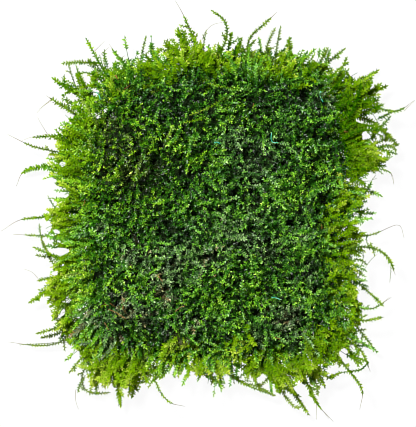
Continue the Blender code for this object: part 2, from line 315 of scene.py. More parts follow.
def selectVerts(obj, wanted):
    bpy.ops.mesh.select_mode(type="VERT")
    bpy.ops.mesh.select_all(action="DESELECT")
    bm = bmesh.from_edit_mesh(obj.data)
    for vert in bm.verts:
        vert.select_set(bool(wanted(vert.co)))
    bm.select_flush(True)
    bmesh.update_edit_mesh(obj.data)


def modelLeaf():
    # An egg-shaped blade a unit long and wide, from its foot at the origin to its tip along +Y,
    # widest near the foot, creased along the middle and hollow above
    bpy.ops.mesh.primitive_circle_add(vertices=6, radius=0.5, fill_type="NGON", location=(0, 0.5, 0))
    obj = bpy.context.object
    bpy.ops.object.transform_apply(location=True, rotation=False, scale=False)
    bpy.ops.object.mode_set(mode="EDIT")
    selectVerts(obj, lambda co: abs(co.x) < 0.1)
    bpy.ops.mesh.vert_connect()
    selectVerts(obj, lambda co: abs(co.x) > 0.1)
    bpy.ops.transform.resize(value=(1.20, 1, 1))
    bpy.ops.transform.translate(value=(0, -0.08, 0.16))
    selectVerts(obj, lambda co: abs(co.x) > 0.1 and co.y > 0.5)
    bpy.ops.transform.resize(value=(0.78, 1, 1))
    bpy.ops.transform.translate(value=(0, -0.05, -0.05))
    selectVerts(obj, lambda co: abs(co.x) < 0.1 and co.y > 0.5)
    bpy.ops.transform.translate(value=(0, 0, -0.08))
    bpy.ops.mesh.select_all(action="SELECT")
    bpy.ops.mesh.quads_convert_to_tris()
    bpy.ops.object.mode_set(mode="OBJECT")
    verts = np.array([vert.co[:] for vert in obj.data.vertices])
    faces = np.array([face.vertices[:] for face in obj.data.polygons])
    bpy.data.objects.remove(obj)
    return verts, faces


leafVerts, leafFaces = modelLeaf()
print("leaf modelled", len(leafFaces), "faces")


# Growing: leaves and stems are gathered in a patch, and each patch becomes one mesh

# gap is from leaf to leaf along the stem, width a share of the leaf's length, spread in degrees
# off the stem, at the root and the tip, and stem the stem's radius as a share of the half-width
flatLeaves = {"gap": 0.27, "width": 0.58, "spread": (62, 44), "wander": 0.15, "toneWander": 0.08,
              "facing": 0.34, "turn": 0.22, "size": (0.8, 1.2), "stem": 0.16}
cordLeaves = {"gap": 0.30, "width": 0.60, "spread": (60, 44), "wander": 0.20, "toneWander": 0.09,
              "facing": 0.35, "turn": 0.25, "size": (0.8, 1.15), "stem": 0.27}
roundLeaves = {"gap": 0.25, "width": 0.52, "spread": (66, 34), "wander": 0.22, "toneWander": 0.12,
               "facing": 0.45, "turn": 0.3, "size": (0.75, 1.2), "stem": 0.16}
leafing = {
    "length": 1.08,  # a leaf's, as a share of the shoot's half-width
    "tipLighter": 0.13,  # the tone at a leaf's tip against its foot
    "hueStray": 0.03,
    "bareRadius": (0.10, 0.055),
    "bareTone": 0.32,
    "barePaler": 0.5,  # how much paler a bare end is at its tip
    "bareHue": 0.19,
    "pathStep": 0.6,
    "lowest": 0.5,
    "openShare": 0.35,  # a shoot with more of it than this in openings isn't grown
}
ranks = np.array((0, math.pi, math.pi / 2))  # a flat shoot's leaves: right, left and top
# Where the white floor shows between the shoots: middle and half-sizes
openings = np.array((
    (-51.4, 22, 3.8, 1), (48.6, -25.8, 2.5, 1.9), (49.3, -14, 2, 2), (-45.5, -11.8, 2.7, 1.3),
    (48.6, 29, 2.9, 1.2), (-37.9, 44.9, 3.1, 1), (-49.8, -4.2, 1.4, 2), (38.9, -48.4, 2, 1.3),
    (42, -43.1, 1.4, 1.6), (-41.4, 36.3, 2.1, 1), (34.7, 47.7, 1.6, 1.2), (44.8, -41.6, 1, 1.5),
    (28.6, -53.7, 1.6, 0.9), (-30.9, 46.6, 1.4, 1), (17.2, -50.8, 1.2, 1.2), (-49.9, -8.4, 1.1, 1.2),
    (40, 45.8, 1.6, 0.9), (48.6, 24.1, 0.9, 1.3), (-43.9, 6, 1.2, 1), (6.6, 51.2, 1.2, 1),
    (-44.9, -30.6, 0.9, 1.2), (25.9, -56.8, 1, 0.9), (-38.2, -52.8, 0.9, 1.1), (-46.8, -5.6, 1.1, 0.8),
    (-34.5, 37.5, 1.2, 1), (-37.4, 41.5, 1, 1), (-44.8, 15.3, 1, 0.9), (-46, -37, 0.9, 1),
    (5.6, -50.8, 0.9, 1), (-43.2, -26.8, 0.8, 1.1), (20, 52.2, 0.9, 0.9), (50.4, 11.3, 1, 0.8),
    (-46.2, 30.2, 3.8, 1.9), (46, -0.1, 1, 0.8), (48.2, -8.7, 0.7, 1.2), (-39.7, -30.1, 0.7, 0.7),
    (2, -49.9, 0.6, 0.8), (-42, 31.2, 1.6, 1.2), (48.5, -4.5, 1.4, 1.2), (-40.8, -43.2, 1.4, 1.2),
    (-49.4, 7.3, 1.6, 1.3), (-48.2, 10.1, 1.5, 1.2), (-47.3, -18.4, 0.9, 0.8), (-23.1, 48.7, 1.6, 1),
    (51, -19.1, 1.2, 1.2), (-0.2, -52.2, 0.9, 0.9), (-0.8, 50.7, 0.8, 0.7), (25.3, 53.7, 1.2, 1),
    (27.3, 50.3, 1.2, 1), (-14.4, 55.2, 1.2, 1), (50.1, 3.3, 1, 0.9), (51.5, -8.1, 1, 1.3),
    (48.4, 43.4, 1.4, 0.7), (49.6, -37.6, 1.1, 1.2), (-25.6, 49.4, 2.8, 1.3), (-29.8, -54.3, 0.8, 1.6),
    (-40.4, -45.2, 1.8, 1.3), (-51.7, 9.8, 1, 1), (-15, 52.3, 1.1, 0.9), (2.7, -54.4, 1.2, 0.8),
    (47, -23.1, 0.9, 1.2), (-11.4, -51.7, 1.8, 1), (15.3, 51.5, 0.9, 0.9), (-29.2, 52.9, 1.1, 1),
    (50.6, -3.4, 2.2, 1.5), (28.8, 52.2, 1.3, 2), (46, 43.1, 1.8, 0.9), (-20, 50.6, 1.9, 1),
    (-17.8, 54, 1.2, 1), (12.2, -53.4, 1.1, 1),
))


def newPatch():
    return {"verts": [], "faces": [], "places": [], "count": 0}


def addFaces(patch, verts, faces, places):
    patch["verts"].append(verts)
    patch["faces"].append(faces + patch["count"])
    patch["places"].append(places)
    patch["count"] += len(verts)


def between(pair):
    return rng.uniform(*pair)


def radiansBetween(pair):
    return math.radians(rng.uniform(*pair))


def unit(vectors):
    return vectors / np.maximum(np.linalg.norm(vectors, axis=-1, keepdims=True), 1e-9)


def addLeaves(patch, feet, along, facing, lengths, widths, tones, hues):
    # facing is roughly the leaf's upper side, and is squared up to its length here
    across = unit(np.cross(along, facing))
    facing = np.cross(across, along)
    verts = (
        feet[:, None]
        + across[:, None] * (leafVerts[:, 0] * widths[:, None])[..., None]
        + along[:, None] * (leafVerts[:, 1] * lengths[:, None])[..., None]
        + facing[:, None] * (leafVerts[:, 2] * widths[:, None])[..., None]
    )
    places = np.stack((
        np.clip(tones, 0.07, 0.90)[:, None] + (leafVerts[:, 1] - 0.5) * leafing["tipLighter"],
        np.maximum(hues, 0.02)[:, None] + leafVerts[:, 0] * 0.005,
    ), -1)
    faces = leafFaces[None] + (np.arange(len(feet)) * len(leafVerts))[:, None, None]
    addFaces(patch, verts.reshape(-1, 3), faces.reshape(-1, 3), places.reshape(-1, 2))


def inOpening(points):
    off = (points[:, None, :2] - openings[None, :, :2]) / openings[None, :, 2:]
    return ((off**2).sum(-1) < 1).any(1)


def distanceAlong(points):
    return np.concatenate(([0], np.cumsum(np.linalg.norm(np.diff(points, axis=0), axis=1))))


def frameAlong(tangents):
    side = unit(np.cross(tangents, up + np.array((0.013, 0.007, 0))))
    return side, np.cross(side, tangents)


def addStem(patch, points, radii, tones, hues):
    # Each of the last three is one number, or one for every point
    radii, tones, hues = (np.broadcast_to(values, len(points)) for values in (radii, tones, hues))
    side, above = frameAlong(unit(np.gradient(points, axis=0)))
    turns = np.arange(3) * math.tau / 3
    ring = np.cos(turns)[:, None] * side[:, None] + np.sin(turns)[:, None] * above[:, None]
    verts = points[:, None] + ring * radii[:, None, None]
    here = np.arange(len(points) - 1)[:, None] * 3 + np.arange(3)
    beside = np.arange(len(points) - 1)[:, None] * 3 + (np.arange(3) + 1) % 3
    last = len(points) * 3
    faces = np.concatenate((
        np.stack((here, beside, beside + 3), -1).reshape(-1, 3),
        np.stack((here, beside + 3, here + 3), -1).reshape(-1, 3),
        ((0, 2, 1), (last - 3, last - 2, last - 1)),
    ))
    wide = np.linspace(-0.006, 0.006, len(points))[:, None]
    # A little spread, so that no face has an empty place on the palette
    places = np.stack((tones[:, None] + (np.arange(3) - 1) * 0.006, (hues[:, None] + wide) + np.zeros(3)), -1)
    addFaces(patch, verts.reshape(-1, 3), faces, places.reshape(-1, 2))


def alongLine(marks, reached, values):
    return np.stack([np.interp(marks, reached, axis) for axis in values.T], 1)


def dress(patch, points, halfWidth, tone, hue, leaves=flatLeaves, roll=0.0, bareFrom=1.0, stemmed=True,
          crossing=False):
    # A leafy shoot along points. tone is at its root and its tip, and it is bare from bareFrom on.
    # One that is crossing the openings keeps its leaves there.
    if inOpening(points).mean() > leafing["openShare"] and not crossing:
        return
    reached = distanceAlong(points)
    leafy = reached[-1] * bareFrom
    flat = leaves is not roundLeaves
    count = max(int(leafy / leaves["gap"]), 6)
    marks = (np.arange(count) + 0.7) * leafy / count
    share = marks / marks[-1]
    tangents = unit(alongLine(marks, reached, np.gradient(points, axis=0)))
    side, above = frameAlong(tangents)
    turn = ranks[np.arange(count) % 3] if flat else np.arange(count) * 2.4 + rng.uniform(0, math.tau)
    turn = turn + roll + rng.normal(0, leaves["turn"], count)
    outward = side * np.cos(turn)[:, None] + above * np.sin(turn)[:, None]
    wide, narrow = leaves["spread"]
    spread = np.radians(wide + (narrow - wide) * smoothStep(0.92, 1, share))
    spread = spread + rng.normal(0, leaves["wander"], count)
    onTop = (np.arange(count) % 3 == 2) & flat
    spread = np.where(onTop, spread * 0.4, spread)
    spread[-1] = 0.1
    along = tangents * np.cos(spread)[:, None] + outward * np.sin(spread)[:, None]
    upper = above if flat else tangents * np.sin(spread)[:, None] - outward * np.cos(spread)[:, None]
    facing = upper + rng.normal(0, leaves["facing"], (count, 3))
    taper = (0.6 + 0.4 * smoothStep(0, 0.12, share)) * (1 - 0.22 * smoothStep(0.92, 1, share))
    lengths = halfWidth * leafing["length"] * taper * rng.uniform(*leaves["size"], count)
    tones = tone[0] + (tone[1] - tone[0]) * share**1.2 + rng.normal(0, leaves["toneWander"], count)
    feet = alongLine(marks, reached, points)
    hues = hue + rng.normal(0, leafing["hueStray"], count)
    clear = ~inOpening(feet + along * (lengths * 0.6)[:, None]) | crossing
    widths = lengths * leaves["width"]
    addLeaves(patch, *(value[clear] for value in (feet, along, facing, lengths, widths, tones, hues)))
    if not stemmed:
        return
    rings = np.unique(np.concatenate((np.arange(0, len(points), 2), [len(points) - 1])))
    ringShare = reached[rings] / reached[-1]
    bare = ringShare > bareFrom
    beyond = np.clip((ringShare - bareFrom) / max(1 - bareFrom, 0.01), 0, 1)
    thickEnd, thinEnd = leafing["bareRadius"]
    stem = leaves["stem"] * halfWidth
    radii = np.where(bare, thickEnd + (thinEnd - thickEnd) * beyond, stem * (1.1 - 0.5 * ringShare))
    leafyTone = tone[0] + (tone[1] - tone[0]) * (ringShare * 0.6 - 0.2)
    stemTones = np.where(bare, leafing["bareTone"] + leafing["barePaler"] * beyond, leafyTone)
    addStem(patch, points[rings], radii, stemTones, np.where(bare, leafing["bareHue"], hue))


def growPath(start, bearing, climb, length, curl=0.0):
    # climb is the angle above level at the root and at the tip, and curl the turn on the way
    count = max(int(round(length / leafing["pathStep"])), 4) + 1
    share = np.linspace(0, 1, count)
    turned = bearing + curl * share
    rise = climb[0] + (climb[1] - climb[0]) * share
    steps = np.stack((np.cos(rise) * np.cos(turned), np.cos(rise) * np.sin(turned), np.sin(rise)), 1)
    steps = steps[1:] * (length / (count - 1))
    points = np.concatenate(((start,), start + np.cumsum(steps, 0)))
    knee = mat["ceiling"] - 1
    over = np.maximum(points[:, 2] - knee, 0)
    points[:, 2] = np.where(over > 0, knee + 1 - np.exp(-over), np.maximum(points[:, 2], leafing["lowest"]))
    return points


def writePiece(name, patch, material, replaced=()):
    verts = np.concatenate(patch["verts"]).astype(np.float32) * mm
    faces = np.concatenate(patch["faces"]).astype(np.int32)
    places = np.concatenate(patch["places"]).astype(np.float32)
    verts[:, 2] = np.maximum(verts[:, 2], 0)
    mesh = bpy.data.meshes.new(name)
    mesh.vertices.add(len(verts))
    mesh.vertices.foreach_set("co", verts.ravel())
    mesh.loops.add(faces.size)
    mesh.loops.foreach_set("vertex_index", faces.ravel())
    mesh.polygons.add(len(faces))
    mesh.polygons.foreach_set("loop_start", np.arange(len(faces), dtype=np.int32) * 3)
    layer = mesh.uv_layers.new(name=paletteMap)
    layer.uv.foreach_set("vector", np.clip(places[faces.ravel()], 0.004, 0.996).ravel())
    mesh.update(calc_edges=True)
    mesh.validate()
    mesh.shade_smooth()
    mesh.materials.append(material)
    handOver(addObject(name, mesh), replaced)
    print(name, len(faces), "faces")


def quarterOf(x, y):
    return ("far" if y > 0 else "near") + ("_right" if x > 0 else "_left")


# The carpet: shoots in layers over the whole mat

# lift is the root's height against the cushion, and climb in degrees at the root and the tip
# The lower layers' darker tones are partly the older leaves' own colour and partly painted shade beneath the
# top shoots
layers = {
    "deep": {"spacing": 2.5, "lift": (-5.0, -3.6), "climb": ((20, 70), (0, 50)), "length": (5, 8),
             "tone": (0.06, 0.16), "halfWidth": (0.8, 1.0)},
    "middle": {"spacing": 1.7, "lift": (-3.8, -2.6), "climb": ((45, 85), (20, 80)), "length": (2.6, 3.8),
               "tone": (0.05, 0.23), "halfWidth": (0.6, 0.85)},
    "top": {"spacing": 1.6, "lift": (-2.6, -0.3), "climb": ((45, 85), (0, 75)), "length": (2.4, 4.4),
            "tone": (0.10, 0.49), "halfWidth": (0.52, 0.80)},
    "lying": {"spacing": 4.4, "lift": (-1.4, 0.2), "climb": ((10, 50), (-12, 20)), "length": (3.5, 8),
              "tone": (0.22, 0.50), "halfWidth": (0.62, 0.85)},
}
carpet = {
    "reach": 0.94,
    "rightReach": 0.07,  # the dense part goes further out on the right
    "reachStray": 0.02,
    "leanFrom": (0.88, 1.06),  # shares of the dark part's edge between which shoots start to lean out
    "flatBelow": 40,  # shoots whose tips climb less than this are flat
    "stemFrom": 4.5,  # shorter shoots hide their stems
    "hollowSize": 4.6,
    "hollowFrom": (0.12, 0.45),
    "hollowDepth": 1.6,
    "brightest": 0.58,
    "edgeTone": (0.32, 0.58),  # what the root and the tip tend to where shoots lean out
    "toneStray": 0.07,
    "hue": 0.66,
    "spotWeights": {"warm": 1.0, "green": 0.9, "greyGlint": 1.0},
    "hueStray": 0.05,
}
# What adds to a shoot's depth in hollows, to the tone of its root and its tip, and to its hue. Tips painted
# darker in hollows and round the dark spots are painted shade.
adds = {
    "depth": {"dark": 0.40, "light": -0.25},
    # The right side's roots and tips are painted lighter, lifting the shade there: painted light
    "root": {"right": 0.08, "greyGlint": 0.05, "light": 0.05},
    "tip": {"clump": 0.28, "shade": 0.08, "fresh": 0.24, "dark": -0.22, "hollow": -0.22, "light": 0.17,
            "greyGlint": 0.09, "right": 0.05},
    "hue": {"slow": 0.12, "olive": 0.20, "lean": 0.05},
}
# Fresh pale tips stand together round the first places. Round the others the moss is greyer with brighter
# tips as painted glints, warmer, greener, darker with deeper hollows and tips in painted shade, or lighter.
# Each is its place, its size and, where the colour changes, the hue.
spots = {
    "fresh": (
        (-17.4, 40.1), (-12.7, 37.4), (-9, 36.1), (-19.8, 28.7), (-24.2, 27.1), (-16.1, 24), (-6.8, 27.7),
        (0.6, 25.6), (-3.4, 19.7), (-0.9, 17.5), (1.2, 15), (-9.6, 18.8), (-16.7, -1.4), (-21.1, -9.1),
        (-17.4, -13.5), (-14.9, -15.7), (-5.3, -13.2), (-25.4, -20.3), (-20.8, -20.3), (-3.4, -22.8),
        (-19.8, -26.5), (-30.1, -27.4), (18.3, 5.4), (26.4, 2.6), (10.8, 2.3), (9.3, -0.2), (31.9, -6),
        (27.3, -12.9), (8.1, -12.9), (29.8, -11.3), (27.9, -23.1), (12.4, -27.1), (15.2, -30.5), (5, -23),
        (10, -22), (17, -25), (4, 2), (3, -4), (2, -19), (7, -17), (13, -14), (20, -16), (3, -28),
        (21, -28), (7, -33), (13, -36), (22, -9), (-8, 5), (16, -3),
    ),
    # Round these spots the leaves are greyer and their roots and tips brighter: painted glints on wet leaves
    "greyGlint": (
        (-24, -11, 4, 0.32), (-19, -13, 5, 0.31), (-14, -17, 7, 0.3), (-6, -14, 5, 0.31),
        (1, -12.5, 4.5, 0.33), (5.5, -3, 4.5, 0.36), (15, -0.5, 5, 0.36), (-15, -23, 5, 0.31),
        (-13, -27, 4, 0.31), (-25, -31, 5.5, 0.29), (-5, -33, 3.5, 0.32), (24, -32, 6.5, 0.31),
        (30.5, -19.5, 3, 0.36), (28.5, -7.5, 3.5, 0.37), (14, 14, 6, 0.41), (8, 24, 5, 0.41),
        (18, 20, 5, 0.42), (34.5, 35, 4, 0.38), (-32, -3, 2.5, 0.34), (12, -8, 5, 0.4), (18, -12, 4, 0.4),
        (-34, -30, 4, 0.28), (-12, -36, 3.5, 0.32), (-20, -32, 4, 0.3), (-28, -25, 4, 0.31),
        (28, -37, 4, 0.38), (16, -37, 3.5, 0.4), (-29, -37, 4, 0.34),
    ),
    "warm": (
        (-22, 15, 11, 0.98), (-28, 24, 7, 0.98), (-15, 22, 7, 0.92), (-20, -36, 8, 0.95),
        (-33, -30, 7, 0.98), (-30, -38, 6, 0.95), (24, -31, 7, 0.9), (9, 30, 4, 0.84), (-6, -28, 5, 0.82),
        (15, -24, 4, 0.8),
    ),
    "green": (
        (-8.5, 41, 7, 0.56), (26.5, 35, 6, 0.56), (40, 21, 4.5, 0.58), (17, 17, 3, 0.57),
        (26.5, 17, 4, 0.57), (11.5, 8, 4.5, 0.57), (-5, -4, 6, 0.57), (-37, -7, 3.5, 0.6),
        (5.5, -30.5, 5, 0.57), (37.5, -35, 4, 0.6), (23, 28, 5, 0.57), (16, 11, 4, 0.57),
        (-2, -23, 4, 0.57), (-2, 36, 5, 0.57), (30, -13, 4, 0.6),
    ),
    # Round these spots the hollows are deeper and the tips are painted darker: painted shade
    "dark": (
        (26.8, 34, 4.5), (31, 35, 4), (36.5, 35.5, 5), (42, 43, 6), (18, 34, 3), (38.3, 22.8, 3),
        (15.3, 15, 3.5), (21, 16.2, 3), (26, 17.5, 3), (8.2, 13.5, 2.5), (-13.5, 13.2, 3.5),
        (-17, 11.5, 2.8), (-24.6, 20.3, 4.5), (-18.4, 18.4, 3.5), (-27, 23.4, 4), (-32.7, 17, 3),
        (-21.2, 38, 4), (-16.5, 33, 4), (-10.5, 32.3, 3.5), (-2.9, 37, 3.5), (-6.5, 40.5, 3),
        (0, 22.5, 2.5), (-11.3, 24.8, 2.5), (-5.7, 9, 2.2), (-11.8, 8, 2.8), (-33, 34, 3.5), (-19, 36, 4),
        (-13.2, -9, 3.5), (-9.5, -7, 3), (-13.5, -4, 3.5), (-3.3, -3.3, 2.5), (-25, 0.5, 1.6),
        (-31.3, -24, 2.5), (-29.8, -31, 3.5), (-29, -36.5, 5), (-24, -21.5, 2.5), (-14.1, -36.4, 2.5),
        (19.2, -17, 2.5), (16.5, -9, 3), (2.6, -22.2, 1.8), (9.8, -38.9, 2),
    ),
    "light": (
        (33.4, 17, 3.5), (34.3, 11.9, 3), (25.3, 7.9, 4), (16.3, 8.8, 3), (11, 7.6, 3), (7.9, 38, 4),
        (7, 33.3, 3), (14.1, 31.5, 3), (18.8, 26.5, 2.2), (1.1, 30.6, 3), (0.5, 1.1, 3), (-30.8, 10.4, 3),
        (-27.7, -8.2, 3.5), (-23.7, -14.5, 3.5), (-2, -10, 4), (7.9, -11.6, 3), (-8, -20.5, 4),
        (0.5, -26.8, 3), (3.5, -31.8, 2.5), (-7.3, -32.7, 2.2), (-18.5, -28.5, 2.6), (-22.2, -34.9, 3),
        (-13, -19.5, 4), (24, -4.5, 3), (39.8, -3, 4), (39.8, -9.8, 4), (39.5, -20.3, 4), (31, -24.5, 4),
        (33, -37.4, 4), (20.3, -31.8, 3.5), (20.5, -38.6, 3.5), (7.6, -20.3, 2.5), (14, -15.3, 3),
        (14.1, -27, 3.5), (3, 14, 3), (12, 10, 3), (19.5, 11, 3), (-29, 2, 3.5), (-27, -3, 3), (5, -1, 5),
        (17, -36, 4.5), (-7, -13, 3), (6, -25, 4), (16, 38, 4), (5, 37, 3.5),
    ),
}
spots["fresh"] = [(*place, 2.3) for place in spots["fresh"]]
spots = {kind: np.array(rows) for kind, rows in spots.items()}


def nearness(kind, x, y):
    # How near the nearest spot of the kind is, up to 1, and that spot's last value
    rows = spots[kind]
    near = np.exp(-((rows[:, :2] - (x, y)) ** 2).sum(1) / rows[:, 2] ** 2)
    return float(near.max()), rows[near.argmax(), -1]


def growCarpet(patches):
    for layer in layers.values():
        gap = layer["spacing"]
        for column in range(int(2 * mat["halfWidth"] / gap) + 3):
            for row in range(int(2 * mat["halfDepth"] / gap) + 1):
                x = -mat["halfWidth"] + (column + rng.uniform(-0.5, 0.5)) * gap
                y = -mat["halfDepth"] + (row + rng.uniform(-0.5, 0.5)) * gap
                reach = carpet["reach"] + carpet["rightReach"] * max(0, x / math.hypot(x, y)) ** 2
                if shareOut(x, y) < reach + carpet["reachStray"] * rng.normal():
                    growCarpetShoot(patches[quarterOf(x, y)], layer, x, y)


def sumOf(what, here):
    return sum(share * here[cause] for cause, share in adds[what].items())


def growCarpetShoot(patch, layer, x, y):
    lean = float(smoothStep(*carpet["leanFrom"], coreShare(x, y)))
    start = np.array((x, y, cushionHeight(x, y) + between(layer["lift"])))
    bearing = math.pi * 2.2 * patchNoise(x, y, 15, 3.7) + rng.normal(0, 1.2)
    swing = (math.atan2(y, x) - bearing + math.pi) % math.tau - math.pi
    bearing += swing * lean * 0.9
    climb = [between(pair) * (1 - 0.7 * lean) for pair in layer["climb"]]
    here = {
        **{kind: nearness(kind, x, y)[0] for kind in ("fresh", "dark", "light", "greyGlint")},
        "clump": patchNoise(x, y, 3.6, 9.1),
        "shade": patchNoise(x, y, 17, 5.3),
        "slow": patchNoise(x, y, 12, 1.9),
        "right": float(smoothStep(12, 36, x)),
        "olive": 0.5 * float(smoothStep(10, 30, -x)) + 0.25 * float(smoothStep(20, 40, -y)),
        "lean": lean,
    }
    depth = patchNoise(x, y, carpet["hollowSize"], 8.8) + sumOf("depth", here)
    # In a hollow a shoot sits lower and its tip is painted darker: painted shade
    here["hollow"] = float(smoothStep(*carpet["hollowFrom"], depth)) * (1 - lean) * (1 - here["fresh"])
    start[2] -= carpet["hollowDepth"] * here["hollow"]
    length = between(layer["length"]) * (1 + 0.5 * lean) + 0.6 * here["fresh"]
    leaves = flatLeaves if climb[1] < carpet["flatBelow"] else roundLeaves
    path = growPath(start, bearing, [math.radians(angle) for angle in climb], length, rng.normal(0, 0.4))
    root = layer["tone"][0] + sumOf("root", here)
    tip = layer["tone"][1] + sumOf("tip", here) + rng.normal(0, carpet["toneStray"])
    tip = min(tip, carpet["brightest"])
    edgeRoot, edgeTip = carpet["edgeTone"]
    root, tip = root + (edgeRoot - root) * lean, tip + (edgeTip - tip) * lean * 0.8
    hue = carpet["hue"] + sumOf("hue", here)
    for kind, weight in carpet["spotWeights"].items():
        near, wanted = nearness(kind, x, y)
        hue += (wanted - hue) * min(weight * near * 1.15, 1) * (1 - 0.7 * here["fresh"])
    hue += rng.normal(0, carpet["hueStray"])
    halfWidth = between(layer["halfWidth"])
    dress(patch, path, halfWidth, (root, max(tip, root)), hue, leaves, rng.normal(0, 0.35),
          stemmed=length > carpet["stemFrom"])


quarters = {name: newPatch() for name in ("far_left", "far_right", "near_left", "near_right")}
growCarpet(quarters)
for name, patch in quarters.items():
    writePiece("moss_carpet_" + name, patch, leafDense, ["moss_mat"])
print("carpet grown")


# The rim: shoots that lean out all round, and those that hang down the sides

# How far out the thick of the shoots reaches at every 5 degrees round from +X
reachThick = (
    46, 49, 50, 55.5, 61.5, 60, 59, 65.5, 64, 61.5, 60.5, 58.5, 56.5, 56.5, 54.5, 52.5, 53, 53,
    50.5, 57, 56, 53, 52.5, 51, 54, 57, 57.5, 60.5, 56, 51, 52, 52, 51.5, 50, 47, 44.5,
    49.5, 48, 49.5, 46.5, 51, 55.5, 57, 55, 59, 59, 61, 64.5, 61, 62, 56, 51, 50.5, 49,
    51, 51, 51.5, 54, 54.5, 61.5, 62, 60.5, 62, 60.5, 61.5, 57, 55, 51, 49.5, 50.5, 51, 47,
)
# More tufts where the clump is thickest near its edge: the middle of their tips, and their shoots
rimFills = (
    (45.4, -44.4, 8), (-25.3, -53.2, 6), (-35.5, -52.8, 6), (-49, -27.1, 7), (33.9, -53.8, 7),
    (-32.5, -52, 5), (-43, 41.5, 7), (-50, -20.8, 6), (14.4, -51, 6), (-10.1, -48.9, 3), (43, 43.2, 4),
    (19.1, -52.7, 7), (-49.7, -38.1, 5), (-37.5, -50.5, 6), (-25.9, -56, 5), (-45.1, 27.4, 3),
    (-51.9, -3.6, 4), (54, -6.4, 4), (1.4, 51.6, 4), (-0.5, 55, 5), (52.2, -29.3, 4), (53.3, 37.4, 4),
    (-17.8, 50.5, 3), (52.4, 15.3, 5), (51.7, 30.8, 6), (22.5, -56.2, 7), (-53.1, 12.8, 4),
    (-50.7, -13.4, 5), (-3.3, -49.2, 4), (-40.3, 42.1, 7), (53.8, 22.8, 5), (-25.6, -50.5, 4),
    (50.2, -27.3, 7), (39.8, -45.8, 6), (34.9, 49.4, 5), (-37.5, 42.4, 6), (43.2, -43, 6), (-7, 57.4, 4),
    (-47.4, -25, 5), (50, 26.1, 5), (-47.4, 19.6, 4), (47.4, -26.1, 5), (53.4, -13.7, 4),
)
rim = {
    "tufts": 116,
    "shoots": (5, 11),  # in a tuft
    "tuftReach": (-8.0, 2.0),  # against the thick reach
    "tipSpread": (-3.5, 1.5),  # against the tuft's reach
    "beyond": (0.25, 0.7),  # where the last tips are, against the thick reach: mean and spread
    "length": (4.5, 9.0),
    "height": (2.0, 11.0),
    "climb": ((-5, 35), (-25, 8)),
    "heightStray": 1.2,
    "tuftTurn": 0.6,
    "turn": 0.5,
    "tuftWidth": 0.045,  # of its bearing, in radians
    "halfWidth": (0.68, 0.98),
    "tone": (0.39, 0.62),
    "tuftTone": 0.09,
    "clumpTone": 0.36,
    "toneStray": 0.06,
    "brightest": 0.80,
    "hue": 0.90,
    "hueStray": 0.04,
    "warmest": 0.92,
    "branches": 0.50,  # the share of shoots with side shoots
    "branchEvery": (1.3, 2.4),
    "branchLength": (1.0, 3.0),
}
fill = {"width": 0.02, "turn": 0.3, "past": (0.8, 1.0), "beyond": 1.0}
rimLeaves = {**flatLeaves, "toneWander": 0.04}  # softer than on top
sides = {
    "count": 420,
    "start": (0.80, 0.97),
    "height": (1.5, 7.0),
    "length": (3, 5),
    "climb": ((-50, 50), (-60, 10)),
    "halfWidth": 0.85,
    "tone": (0.28, 0.46),
    "hue": 0.75,
}
branch = {"angle": (42, 68), "climb": ((-15, 20), (-20, 10)), "size": (0.5, 1.1), "shortest": 1.3}


def nearSide(bearing):
    return max(0.0, -math.sin(bearing))


def rimWarmth(bearing):
    return 0.02 * nearSide(bearing)  # the near side is the most yellow


def rimShade(bearing):
    # The corners are darker than the straight sides, above all the far right one, and the near and left sides
    # are lighter: painted light, as these sides stand in more light
    corner = 0.05 * math.sin(2 * bearing) ** 2
    farRight = 0.11 * math.exp(-((math.degrees(bearing) - 45) / 20) ** 2)
    return corner + farRight - 0.09 * nearSide(bearing) - 0.04 * max(0.0, -math.cos(bearing))


def reachAt(bearings):
    marks = np.linspace(0, 360, len(reachThick) + 1)
    return np.interp(np.degrees(bearings) % 360, marks, reachThick + reachThick[:1])


def untilEdge(points, beyond):
    # A shoot ends where it would leave the thick of the clump or come to an opening
    out = np.hypot(points[:, 0], points[:, 1]) - reachAt(np.arctan2(points[:, 1], points[:, 0]))
    stops = np.flatnonzero((out > beyond) | inOpening(points))
    return points[: stops[0]] if len(stops) else points


def growBranches(patch, points, halfWidth, tone, hue, every, lengths, leaves=flatLeaves,
                 until=0.85, beyond=3.0):
    reached = distanceAlong(points)
    tangents = unit(np.gradient(points, axis=0))
    hand = rng.choice((-1, 1))
    at = between(every)
    while at < reached[-1] * until:
        row = int(np.searchsorted(reached, at))
        share = at / reached[-1]
        angle = radiansBetween(branch["angle"]) * hand
        heading = math.atan2(tangents[row, 1], tangents[row, 0])
        size = (lengths[1] + (lengths[0] - lengths[1]) * share) * between(branch["size"])
        climb = [radiansBetween(pair) for pair in branch["climb"]]
        size = max(size, branch["shortest"])
        path = growPath(points[row], heading + angle, climb, size, -angle * rng.uniform(0.0, 0.5))
        path = untilEdge(path, beyond)
        if len(path) >= 3:
            width = halfWidth * rng.uniform(0.78, 0.95)
            ownTone = (tone[0] + 0.06, tone[1] + rng.normal(0.02, 0.04))
            dress(patch, path, width, ownTone, hue + rng.normal(0, 0.03), leaves, rng.normal(0, 0.3))
        hand = -hand
        at += between(every)


